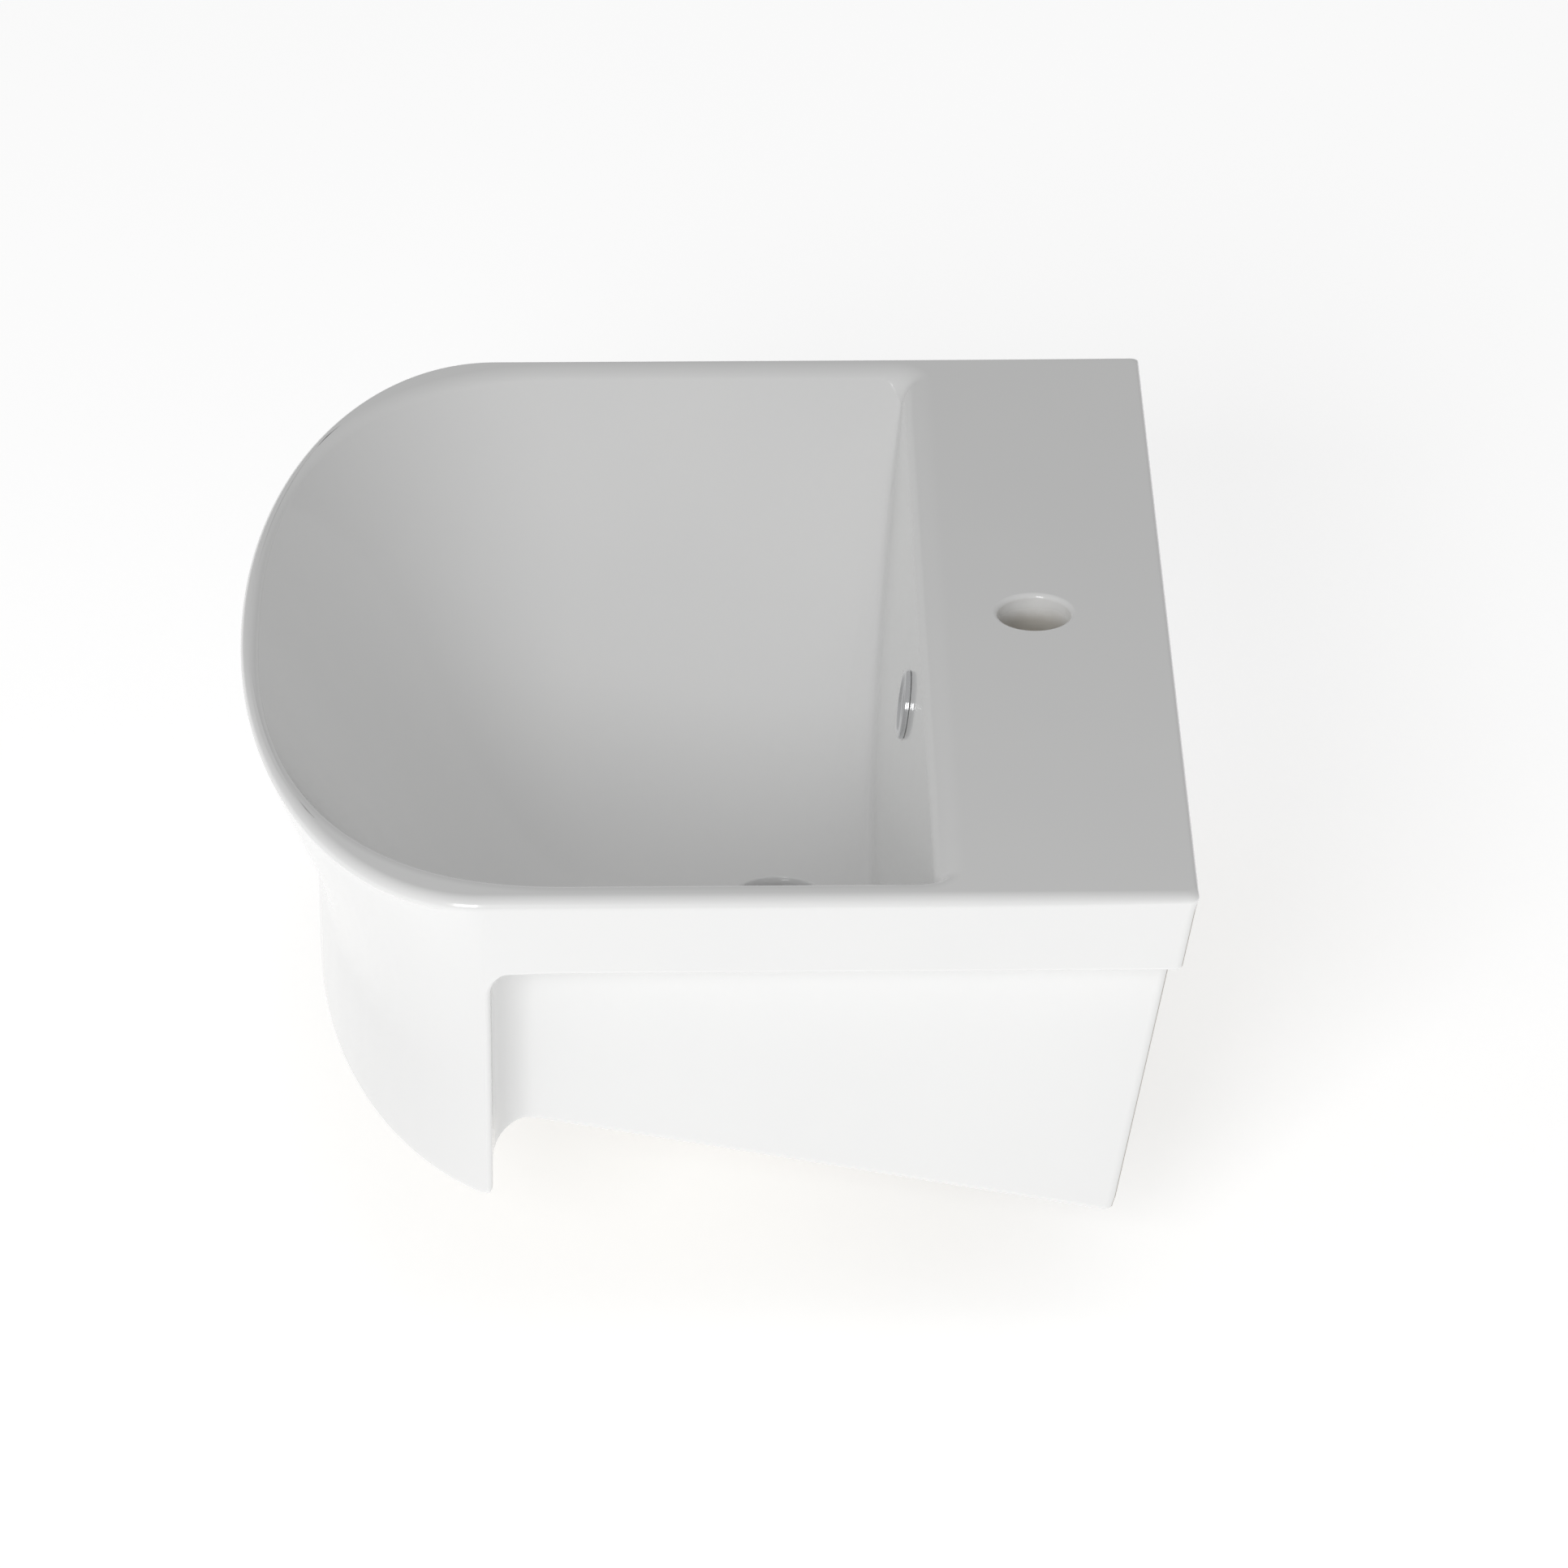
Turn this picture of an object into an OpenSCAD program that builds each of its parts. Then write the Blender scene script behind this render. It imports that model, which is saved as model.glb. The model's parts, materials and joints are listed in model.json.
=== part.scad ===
// Semi-recessed washbasin: one ceramic casting, an overflow ring and a push-open waste.
// Millimetres. X is the width, the wall line is Y = 0 and the front faces -Y.
// Z = 0 is the plane of the ledge that rests on the worktop.
// Heights inside the file are written as depths below the top of the rim.

/* [Basin] */
// Overall width
basin_w = 550; // [540:1:560]
// Overall depth from the wall to the front
basin_d = 440; // [434:1:446]
// Height of the rim above the worktop ledge
rim_h = 38.5; // [34:0.5:42]
// Depth of the bowl floor at the drain
bowl_depth = 156.5; // [150:0.5:160]
// Depth of the casting's lowest edge, at the back
skirt_depth = 189; // [184:1:194]
// How far the lower side panels stand in from the rim
panel_inset = 37; // [34:0.5:40]
// Wall thickness of the casting
wall_t = 11; // [9:0.5:12]

/* [Deck] */
// Front to back length of the tap deck
deck_d = 117; // [112:1:120]
// Diameter of the tap hole
tap_hole_d = 35; // [33:0.5:36]
// Tap hole centre from the wall line
tap_y = 63.4; // [60:0.1:66]

/* [Overflow] */
// Depth of the overflow's centre below the rim
overflow_depth = 49.7; // [46:0.1:54]
// Outer diameter of the overflow ring
overflow_ring_d = 33.5; // [31:0.1:35]

/* [Waste] */
// Drain centre from the wall line
drain_y = 185; // [183:0.5:188]
// Diameter of the drain well in the bowl floor
well_d = 46; // [45.5:0.1:48]
// Travel of the plug between closed and open
plug_travel = 9; // [6:0.5:9]
// Diameter of the outlet spigot
outlet_d = 32; // [30:0.5:32]

/* [Hidden] */

CERAMIC = [0.95, 0.95, 0.94];
CHROME = [0.78, 0.79, 0.80];
BRASS = [0.80, 0.66, 0.34];
RUBBER = [0.12, 0.12, 0.12];
PLASTIC = [0.90, 0.90, 0.88];
STEEL = [0.62, 0.63, 0.65];

half_w = basin_w / 2;
panel_x = half_w - panel_inset;
back_lean = 0.178;          // the back face leans forward by this much per mm of depth

// Rim: inner edge, flat top and rounded edges, as [side, back, front] values
inner_x = half_w - 18;
inner_front = -(basin_d - 9);
inner_back = -(deck_d + 1.6);
inner_bow_y = -281;         // where the inner outline starts to curve to the front
inner_bow_n = 2.45;
inner_r = 13;               // back corners of the inner outline
step_l = 24;                // length of the side just before the bow
flat_x = half_w - 10.5;
flat_front = -(basin_d - 4.6);
flat_back = -(deck_d - 12.3);
flat_r = 20;
outer_r = 4;                // vertical corners at the wall
edge_side = 6;
edge_back = 2.5;
edge_front = 4.5;
ledge_edge = 1.6;

// Bowl: the scoop's depth follows 1 - F^p, and the back wall is a leaning plane
scoop_start = 3.6;
scoop_p = 2.3;
wall_start = 12.2;
wall_lean = 0.1317;
foot_blend = 16;
floor_curve = 0.0008;
floor_dip = 0.7;            // how far the scoop runs on below the edge of the drain
foot_share = 0.42;          // place of the bowl's middle ring, from the rim to the drain
foot_power = 0.35;

// Apron: its trailing edge, its lower front and its lowest points
trail_y = -319.7;
trail_r = 2.5;
apron_fillet = 22;
notch_r = 11;
apron_front = -405.5;
apron_side_depth = 155.2;
apron_front_depth = 159.6;
apron_a = 301;
apron_n = 2.22;
rim_n = 2.05;
flare_from = 3.6;
flare_run = 99.5;
flare_power = 0.85;
low_power = 0.3;            // how soon the lower edge drops from the apron's ends to its front
edge_taper = 1.3;           // extra thinning of the apron's free edge, lower down
panel_front_depth = 135;
panel_slope = 0.195;

// Underside: roof of the hollow as [back, side, front] depths, its inner line, and the drain boss
roof = [18, 62, 74];
roof_x = 221;
roof_back = -107;
roof_front = -395;
roof_bow_y = -334;
roof_bow_n = 2.2;
roof_r = 12;
boss_r = 38;
boss_depth = 188;

// Segments along half of a ring: back edge, back corner, deck side, side, step and bow
n_back = 6;
n_corner = 3;
n_deck = 4;
n_side = 5;
n_step = 8;
n_bow = 16;
n_turn = n_corner + n_deck;
half_n = n_back + n_turn + n_side + n_step + n_bow + 1;
wall_rings = [0, 0.2, 0.42, 0.62, 0.78, 0.9, 1];
floor_rings = [0.05, 0.12, 0.22, 0.34, 0.48, 0.64, 0.82, 1];

function mix(a, b, t) = a + (b - a) * t;
function unit_clamp(t) = min(1, max(0, t));
function ease(t) = let (c = unit_clamp(t)) c * c * (3 - 2 * c);
function soft_min(a, b, k) = (a + b - sqrt((a - b) * (a - b) + k * k)) / 2;
function level(d) = rim_h - d;

// Share of the back edge (1) against the side (0), and of the front (1), at half-ring point j
function back_share(j) = 1 - ease((j - n_back) / n_turn);
function front_share(j) = let (i = j - (half_n - 1 - n_bow)) i <= 0 ? 0 : pow(sin(90 * i / n_bow), 2);
function spread(v, j) = v[1] + (v[0] - v[1]) * back_share(j) + (v[2] - v[1]) * front_share(j);

// One quarter of a superellipse that starts at [x_edge, y_edge] and ends at [0, y_front]
function bow(x_edge, y_edge, y_front, a, n) = let (
    v = pow(max(0, 1 - pow(x_edge / a, n)), 1 / n),
    b = (y_edge - y_front) / (1 - v),
    start = asin(pow(v, n / 2))
    ) [for (i = [0:n_bow]) let (q = mix(start, 90, i / n_bow))
        [a * pow(cos(q), 2 / n), y_front + b - b * pow(sin(q), 2 / n)]];
function back_edge(x, y) = [for (i = [0:n_back - 1]) [x * i / n_back, y]];
function arc(x, y, r, n) = [for (i = [0:n - 1]) let (q = 90 * i / n)
    [x - r + r * sin(q), y - r + r * cos(q)]];
function line_y(x, y0, y1, n) = [for (i = [0:n - 1]) [x, mix(y0, y1, i / n)]];

// Half of a bowl outline: the back corner is one arc, then side, then bow
function inner_half(x, y_back, r, y_bow, y_front, n) = concat(
    back_edge(x - r, y_back), arc(x, y_back, r, n_turn),
    line_y(x, y_back - r, y_bow + step_l, n_side), line_y(x, y_bow + step_l, y_bow, n_step),
    bow(x, y_bow, y_front, x, n));

// Step zone: the concave corner between the lower panel and the back of the apron, then the
// trailing edge. With no fillet it runs straight along the side.
function step_half(x_rear, x_trail, y, r) = r > 0
    ? concat([for (i = [0:5]) [x_rear + r - r * cos(18 * i), y + r - r * sin(18 * i)]],
        [[x_trail - trail_r, y], [x_trail - 0.3 * trail_r, y - 0.3 * trail_r]])
    : concat(line_y(x_rear, y + apron_fillet, y + 1, n_step - 1), [[x_trail, y - trail_r + 1]]);

// Half of an outer outline: small back corner, deck side, side, step and bow
function outer_half(x_rear, x_trail, y_back, r, y_trail, y_bow, y_front, a, n, fillet) = let (
    y_side = y_trail + (fillet > 0 ? fillet : apron_fillet)
    ) concat(
    back_edge(x_rear - r, y_back), arc(x_rear, y_back, r, n_corner),
    line_y(x_rear, y_back - r, -deck_d, n_deck), line_y(x_rear, -deck_d, y_side, n_side),
    step_half(x_rear, x_trail, y_trail, fillet), bow(x_trail, y_bow, y_front, a, n));

// The apron's front line, ellipse size and squareness at a depth
function flare(d) = ease(pow(unit_clamp((d - flare_from) / flare_run), flare_power));
function front_at(d) = mix(-basin_d, apron_front, flare(d));
function apron_a_at(d) = mix(half_w, apron_a, flare(d));
function apron_n_at(d) = mix(rim_n, apron_n, flare(d));

// Lowest depth under half-ring point [x, y]
function low_at(x, y) = y < trail_y - 1
    ? mix(apron_side_depth, apron_front_depth, pow(max(0, 1 - x / half_w), low_power))
    : max(panel_front_depth + panel_slope * (y - trail_y - 9),
        mix(panel_front_depth, apron_side_depth, (x - panel_x) / panel_inset));

// Bowl depth at a plan point: a scoop with D-shaped level lines, cut by the leaning back wall
function d_share(x, y) = let (u = abs(x) / inner_x, v = max(0, inner_bow_y - y) / (inner_bow_y - inner_front))
    pow(pow(u, inner_bow_n) + pow(v, inner_bow_n), 1 / inner_bow_n);
function scoop(x, y) = let (
    deepest = bowl_depth + floor_dip - floor_curve * pow(y + drain_y, 2)
    ) mix(deepest, scoop_start, pow(min(1, d_share(x, y)), scoop_p));
function back_wall(y) = wall_start + (inner_back - y) / wall_lean;
function bowl_at(x, y) = let (s = scoop(x, y)) soft_min(s, back_wall(y), foot_blend * unit_clamp(s / 50));

// Depth of the bowl's underside: the scoop and the back wall, each moved out by the wall thickness
wall_out = wall_t * sqrt(1 + wall_lean * wall_lean);
function under_at(x, y) = let (
    e = 0.5,
    gx = (scoop(x + e, y) - scoop(x - e, y)) / (2 * e),
    gy = (scoop(x, y + e) - scoop(x, y - e)) / (2 * e)
    ) soft_min(scoop(x, y) + wall_t * sqrt(1 + gx * gx + gy * gy), back_wall(y - wall_out), 2 * foot_blend);

// Plan points of the bowl: rim edge, foot of the wall and drain circle
edge_pts = inner_half(inner_x, inner_back, inner_r, inner_bow_y, inner_front, inner_bow_n);
function drain_pt(j, r) = let (q = 180 * j / (half_n - 1)) [r * sin(q), -drain_y + r * cos(q)];
function foot_pt(j) = let (
    p = edge_pts[j],
    share = back_share(j),
    behind = inner_back - wall_lean * (scoop(p[0], inner_back - 15) - wall_start)
    ) mix(mix(p, drain_pt(j, boss_r), foot_share), [p[0] * 0.99, behind], pow(share, foot_power));
function wall_ring(t) = [for (j = [0:half_n - 1]) mix(edge_pts[j], foot_pt(j), t)];
function floor_ring(t) = [for (j = [0:half_n - 1]) mix(foot_pt(j), drain_pt(j, well_d / 2 + 1), t)];
function drape(ring) = [for (p = ring) [p[0], p[1], bowl_at(p[0], p[1])]];
function flat_ring(ring, d) = [for (p = ring) [p[0], p[1], d]];
function disc_ring(r, d) = [for (j = [0:half_n - 1]) let (p = drain_pt(j, r)) [p[0], p[1], d]];

// Rounded inner edge of the rim, from the flat top down to the bowl
flat_pts = inner_half(flat_x, flat_back, flat_r, inner_bow_y, flat_front, inner_bow_n);
edge_turn = [82, 53, 65];
function lip_ring(t) = [for (j = [0:half_n - 1]) let (
    full = spread(edge_turn, j),
    q = full * t,
    p = mix(flat_pts[j], edge_pts[j], sin(q) / sin(full))
    ) [p[0], p[1], bowl_at(edge_pts[j][0], edge_pts[j][1]) * (1 - cos(q)) / (1 - cos(full))]];

// Outer faces of the rim at a depth, drawn in by the edge rounding
function rim_ring(d, in_side, in_back, in_bow, in_front, notch) = [for (p = outer_half(half_w - in_side,
    half_w - in_bow, -back_lean * d - in_back, outer_r, trail_y + notch, trail_y - trail_r,
    front_at(d) + in_front, apron_a_at(d) - in_bow, apron_n_at(d), 0)) [p[0], p[1], d]];
function top_edge_ring(q) = [for (j = [0:half_n - 1]) let (
    r = spread([edge_back, edge_side, edge_front], j),
    w = 1 - cos(q),
    p = rim_ring(0, edge_side * w, edge_back * w, edge_side * w, edge_front * w, 0)[j]
    ) [p[0], p[1], r * (1 - sin(q))]];

// Outer faces below the ledge: share t runs from just under the ledge to the lowest edge.
// The back face and the bow have no ledge, so there each ring starts a little lower.
function past_ledge(j) = 0.8 * (j < n_back + n_corner ? unit_clamp((n_back + n_corner - j) / n_corner)
    : unit_clamp(j - (half_n - 2 - n_bow)));
function skirt_plan(d_back, d_front, notch, in_t) = let (
    x_trail = half_w - in_t * (1 + edge_taper * flare(d_front))
    ) outer_half(panel_x - in_t, x_trail, -back_lean * d_back - in_t, outer_r, trail_y + notch - in_t,
        trail_y - trail_r - in_t, front_at(d_front) + in_t, apron_a_at(d_front) - in_t,
        apron_n_at(d_front), min(apron_fillet + in_t, x_trail - panel_x + in_t - 4));
low_plan = skirt_plan(skirt_depth, apron_front_depth, 0, 0);
low_pts = [for (p = low_plan) min(skirt_depth, low_at(p[0], p[1]))];
function skirt_ring(drop, t, in_t, lift) = let (
    notch = drop < notch_r ? notch_r - sqrt(notch_r * notch_r - pow(notch_r - drop, 2)) : 0,
    d0 = rim_h + drop,
    plan = skirt_plan(mix(d0 + past_ledge(0), skirt_depth, t), mix(d0, apron_front_depth, t), notch, in_t)
    ) [for (j = [0:half_n - 1]) [plan[j][0], plan[j][1], mix(d0 + past_ledge(j), low_pts[j], t) - lift]];
function roof_ring(t_in, drop) = [for (j = [0:half_n - 1]) let (
    p = skirt_ring(notch_r, 0.25, wall_t + t_in, 0)[j]
    ) [p[0], p[1], spread(roof, j) + drop]];
function inner_skirt_ring(t) = let (a = roof_ring(0, 6), b = skirt_ring(notch_r, 1, wall_t, 2))
    [for (j = [0:half_n - 1]) mix(a[j], b[j], t)];
function roof_inner_ring(out, drop) = let (
    p = inner_half(roof_x - out, roof_back - out, roof_r, roof_bow_y, roof_front + out, roof_bow_n))
    [for (j = [0:half_n - 1]) [p[j][0], p[j][1], spread(roof, j) + drop]];

// Rings of the bowl's underside, from the roof's inner line by the foot of the wall to the boss
roof_pts = roof_inner_ring(2, 3);
function under_foot_pt(j) = let (
    p = [roof_pts[j][0], roof_pts[j][1]],
    deep = scoop(p[0], inner_back) + wall_t - 4,
    behind = inner_back + wall_out - wall_lean * (deep - wall_start)
    ) mix(mix(p, drain_pt(j, boss_r), foot_share), [p[0] * 0.98, behind], pow(back_share(j), foot_power));
function under_ring(t) = [for (j = [0:half_n - 1]) let (
    top = [roof_pts[j][0], roof_pts[j][1]],
    foot = under_foot_pt(j),
    p = t < 1 ? mix(top, foot, t) : mix(foot, drain_pt(j, boss_r + 5), t - 1)
    ) [p[0], p[1], max(under_at(p[0], p[1]), roof_pts[j][2] + 2 + 6 * t)]];

// All rings of the casting, as one closed loop of sections
body_rings = concat(
    [disc_ring(12, bowl_depth + 0.4), disc_ring(well_d / 2 - 3, bowl_depth + 0.2)],
    [for (i = [len(floor_rings) - 1:-1:0]) drape(floor_ring(floor_rings[i]))],
    [for (i = [len(wall_rings) - 1:-1:1]) drape(wall_ring(wall_rings[i]))],
    [for (i = [4:-1:0]) lip_ring(i / 4)],
    [for (i = [4:-1:0]) top_edge_ring(22.5 * i)],
    [rim_ring(12, 0, 0, 0, 0, 0), rim_ring(24, 0, 0, 0, 0, notch_r / 2),
        rim_ring(rim_h - ledge_edge, 0, 0, 0, 0, notch_r), rim_ring(rim_h, ledge_edge, 0, 0, 0, notch_r)],
    [for (drop = [0, 1.2, 3.2, 6.4, notch_r]) skirt_ring(drop, 0, 0, 0)],
    [for (i = [1:5]) skirt_ring(notch_r, i * 0.19, 0, 0)],
    [skirt_ring(notch_r, 1, 0, 2.5), skirt_ring(notch_r, 1, 0.8, 0.8), skirt_ring(notch_r, 1, 2.5, 0),
        skirt_ring(notch_r, 1, wall_t - 2, 0), skirt_ring(notch_r, 1, wall_t, 2)],
    [for (i = [4:-1:0]) inner_skirt_ring(i / 5)],
    [roof_ring(1, 1.6), roof_ring(3, 0), roof_inner_ring(-1, 0), roof_inner_ring(2, 3)],
    [for (t = [0.25, 0.5, 0.75, 0.9, 1.05, 1.2, 1.4, 1.6, 1.8]) under_ring(t)],
    [disc_ring(boss_r + 3, bowl_depth + wall_t), disc_ring(boss_r, bowl_depth + wall_t + 5),
        disc_ring(boss_r, boss_depth - 2), disc_ring(boss_r - 2, boss_depth), disc_ring(12, boss_depth)]);

// Mirror a half ring into a full one and turn depths into heights
function full_ring(h) = concat([for (p = h) [p[0], p[1], level(p[2])]],
    [for (j = [half_n - 2:-1:1]) [-h[j][0], h[j][1], level(h[j][2])]]);

module casting() {
    loop_n = 2 * (half_n - 1);
    rings = len(body_rings);
    points = [for (h = body_rings) each full_ring(h)];
    faces = [for (k = [0:rings - 1], j = [0:loop_n - 1]) let (
        right = j < half_n - 1,     // the diagonals mirror too, so both sides are the same
        k2 = (k + 1) % rings,
        j2 = (j + 1) % loop_n,
        a = k * loop_n + j,
        b = k * loop_n + j2,
        c = k2 * loop_n + j2,
        d = k2 * loop_n + j
        ) each ((k % 2 == 0) != right ? [[a, c, b], [a, d, c]] : [[a, d, b], [b, d, c]])];
    polyhedron(points = points, faces = faces, convexity = 10);
}

// Overflow duct: a post that leans with the back wall of the bowl, and a foot that joins the drain boss
post_out = 20;              // post axis, measured out from the bowl's surface
post_r = 15;
post_bore = 9.5;
post_above = 30;            // post length above the overflow's centre
foot_depth = 173.5;
foot_r = 13.5;
foot_bore = 6;
post_floor = 8;             // ceramic below the post's bore
bore_above = 14;            // bore length above the overflow's centre
overflow_hole_r = 12.5;
hole_in = 22;               // overflow hole length, back from the bowl's surface
overflow_y = inner_back - wall_lean * (overflow_depth - wall_start);
wall_tilt = atan(wall_lean);
post_l = (foot_depth - overflow_depth) / cos(wall_tilt);
post_foot_y = overflow_y - wall_lean * (foot_depth - overflow_depth) + post_out * cos(wall_tilt);
seat_depth = 167;           // the ledge inside the drain well
neck_r = 17.3;              // bore below that ledge

module at_overflow() {
    translate([0, overflow_y, level(overflow_depth)]) rotate([90 - wall_tilt, 0, 0]) children();
}
module along_y(y0, y1, d, r) {
    translate([0, y0, level(d)]) rotate([-90, 0, 0]) cylinder(r = r, h = y1 - y0, $fn = 64);
}
module upright(y, d_top, d_low, r) {
    translate([0, y, level(d_low)]) cylinder(r = r, h = d_low - d_top, $fn = 96);
}

module duct_post(above, below, r) {
    at_overflow() translate([0, 0, -post_out]) rotate([-90, 0, 0]) translate([0, 0, -below])
        cylinder(r = r, h = above + below, $fn = 96);
}

module basin_body() {
    color(CERAMIC) difference() {
        union() {
            casting();
            duct_post(post_above, post_l + post_floor, post_r);
            along_y(-drain_y + neck_r + 2, post_foot_y, foot_depth, foot_r);
        }
        upright(-drain_y, bowl_depth - 9, seat_depth, well_d / 2);
        upright(-drain_y, seat_depth - 1, boss_depth + 2, neck_r);
        upright(-tap_y, -5, roof[0] + 5, tap_hole_d / 2);
        duct_post(bore_above, post_l, post_bore);
        along_y(-drain_y, post_foot_y, foot_depth, foot_bore);
        at_overflow() translate([0, 0, -hole_in]) cylinder(r = overflow_hole_r, h = hole_in + 12, $fn = 64);
    }
}

// Chrome ring in the overflow hole: a thin flange, a round bead and a tube that holds in the sleeve
ring_gap = 0.2;
lip_t = 1.2;
bead_r = 2.2;
tube_r = 11.2;
tube_bore = 10.2;
tube_l = 12;
module overflow_ring() {
    ring_r = overflow_ring_d / 2;
    color(CHROME) at_overflow() translate([0, 0, ring_gap]) difference() {
        union() {
            cylinder(r = ring_r, h = lip_t, $fn = 96);
            translate([0, 0, lip_t]) rotate_extrude($fn = 96) translate([ring_r - bead_r - 0.8, 0])
                circle(r = bead_r, $fn = 48);
            translate([0, 0, -tube_l]) cylinder(r = tube_r, h = tube_l + 1, $fn = 96);
        }
        translate([0, 0, -tube_l - 1]) cylinder(r = tube_bore, h = tube_l + 10, $fn = 96);
        translate([0, 0, -bead_r - 3]) difference() {
            cylinder(r = ring_r + 5, h = bead_r + 3, $fn = 96);
            translate([0, 0, -1]) cylinder(r = tube_r, h = bead_r + 5, $fn = 96);
        }
    }
}

// Plastic split sleeve that grips the ring's tube in the ceramic
sleeve_r = 12.4;
sleeve_bore = 11.25;
module overflow_sleeve() {
    color(PLASTIC) at_overflow() translate([0, 0, -13]) difference() {
        cylinder(r = sleeve_r, h = 12, $fn = 96);
        translate([0, 0, -1]) cylinder(r = sleeve_bore, h = 14, $fn = 96);
        for (a = [0, 60, 120]) rotate([0, 0, a]) translate([-20, -0.8, -1]) cube([40, 1.6, 9]);
    }
}

// Waste heights are measured from the ledge inside the drain well
gasket_t = 1.5;
flange_t = 2;
flange_r = 22.3;
waste_r = 16.5;
waste_bore = 14;
thread_pitch = 2.309;
thread_from = -22;
thread_turns = 11;
thread_deep = 1.0;
waste_low = -82;
spigot_l = 30;
slot_w = 8;
slot_h = 11;
slot_z = -9;
flange_top = gasket_t + flange_t;
module at_seat() {
    translate([0, -drain_y, level(seat_depth)]) children();
}

// Flanged tube with overflow slots, a ring-grooved thread and a plain outlet spigot
module waste_body() {
    thread_profile = [for (i = [0:thread_turns]) each let (z = thread_from - i * thread_pitch)
        [[waste_r, z], [waste_r - thread_deep, z - thread_pitch / 2]]];
    outline = concat(
        [[waste_bore, flange_top], [flange_r - 0.8, flange_top], [flange_r, flange_top - 0.8],
            [flange_r, gasket_t], [waste_r, gasket_t]],
        thread_profile,
        [[outlet_d / 2, waste_low + spigot_l + 2], [outlet_d / 2, waste_low + 1],
            [outlet_d / 2 - 1, waste_low], [waste_bore, waste_low]]);
    color(CHROME) at_seat() difference() {
        rotate_extrude($fn = 96) polygon(outline);
        for (a = [0, 90]) rotate([0, 0, a])
            translate([-20, -slot_w / 2, slot_z - slot_h / 2]) cube([40, slot_w, slot_h]);
    }
}

// A flat washer: inner radius, outer radius, lower and upper height
module washer(r1, r2, z1, z2) {
    translate([0, 0, z1]) difference() {
        cylinder(r = r2, h = z2 - z1, $fn = 96);
        translate([0, 0, -1]) cylinder(r = r1, h = z2 - z1 + 2, $fn = 96);
    }
}
module flange_gasket() {
    color(RUBBER) at_seat() washer(neck_r + 0.1, flange_r, 0, gasket_t);
}

// Cross piece pressed in the tube, which carries the click mechanism
spider_top = -17;
spider_h = 7;
hub_r = 9.5;
arm_w = 3;
module spider_insert() {
    color(BRASS) at_seat() {
        washer(waste_bore - 1.6, waste_bore, spider_top - spider_h, spider_top);
        washer(barrel_r, hub_r, spider_top - spider_h, spider_top);
        for (a = [45, 165, 285]) rotate([0, 0, a]) translate([hub_r - 0.3, -arm_w / 2, spider_top - spider_h])
            cube([waste_bore - hub_r - 0.9, arm_w, spider_h]);
    }
}

boss_low = seat_depth - boss_depth;
cone_h = 6;
washer_t = 1.5;
nut_h = 10;
module cone_gasket() {
    color(RUBBER) at_seat() rotate_extrude($fn = 96) polygon([[waste_r + 0.1, boss_low], [24, boss_low],
        [27, boss_low - 2], [24, boss_low - cone_h], [waste_r + 0.1, boss_low - cone_h]]);
}
module slip_washer() {
    color(PLASTIC) at_seat() washer(waste_r + 0.2, 25, boss_low - cone_h - washer_t, boss_low - cone_h);
}
module back_nut() {
    top = boss_low - cone_h - washer_t;
    color(BRASS) at_seat() difference() {
        union() {
            translate([0, 0, top - 2]) cylinder(r = 25.5, h = 2, $fn = 96);
            translate([0, 0, top - nut_h]) cylinder(r = 25, h = nut_h - 1, $fn = 6);
        }
        translate([0, 0, top - nut_h - 1]) cylinder(r = waste_r + 0.05, h = nut_h + 2, $fn = 96);
    }
}

// Click mechanism: a barrel with a collar on the spider, its cap, spring, rotor and plunger
barrel_r = 6.8;
barrel_bore = 5.2;
barrel_top = spider_top + 10;
barrel_low = -43;
barrel_floor = barrel_low + 2;
collar_h = 2.5;
cap_h = 3;
rod_r = 3;
head_top = barrel_top - cap_h - plug_travel - 0.5;
head_h = 5;
head_r = 4.6;
rotor_h = 5;
stub_r = 2;
rotor_low = head_top - head_h - rotor_h - 0.4;
module click_barrel() {
    color(BRASS) at_seat() {
        washer(barrel_bore, barrel_r, barrel_floor, barrel_top);
        washer(barrel_r - 0.5, 8.6, spider_top, spider_top + collar_h);
        translate([0, 0, barrel_low]) cylinder(r = barrel_r, h = barrel_floor - barrel_low, $fn = 96);
    }
}
module barrel_cap() {
    color(STEEL) at_seat() washer(rod_r + 0.08, barrel_bore, barrel_top - cap_h, barrel_top);
}
module barrel_nut() {
    color(BRASS) at_seat() difference() {
        translate([0, 0, spider_top - spider_h - 4]) cylinder(r = 10.4, h = 4, $fn = 6);
        translate([0, 0, spider_top - spider_h - 5]) cylinder(r = barrel_r, h = 6, $fn = 96);
    }
}

// Round wire swept along a helix between the barrel's floor and the rotor
spring_r = 4.2;
wire_r = 0.45;
spring_turns = 5;
wire_sides = 8;
turn_steps = 20;
module click_spring() {
    steps = spring_turns * turn_steps;
    z0 = barrel_floor + wire_r;
    z1 = rotor_low - wire_r;
    points = [for (k = [0:steps], s = [0:wire_sides - 1]) let (
        q = 360 * k / turn_steps,
        w = 360 * s / wire_sides,
        r = spring_r + wire_r * cos(w)
        ) [r * cos(q), r * sin(q), mix(z0, z1, k / steps) + wire_r * sin(w)]];
    sides = [for (k = [0:steps - 1], s = [0:wire_sides - 1]) let (s2 = (s + 1) % wire_sides)
        [k * wire_sides + s, (k + 1) * wire_sides + s, (k + 1) * wire_sides + s2, k * wire_sides + s2]];
    ends = [[for (s = [0:wire_sides - 1]) s],
        [for (s = [wire_sides - 1:-1:0]) steps * wire_sides + s]];
    color(STEEL) at_seat() polyhedron(points = points, faces = concat(sides, ends), convexity = 8);
}

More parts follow.
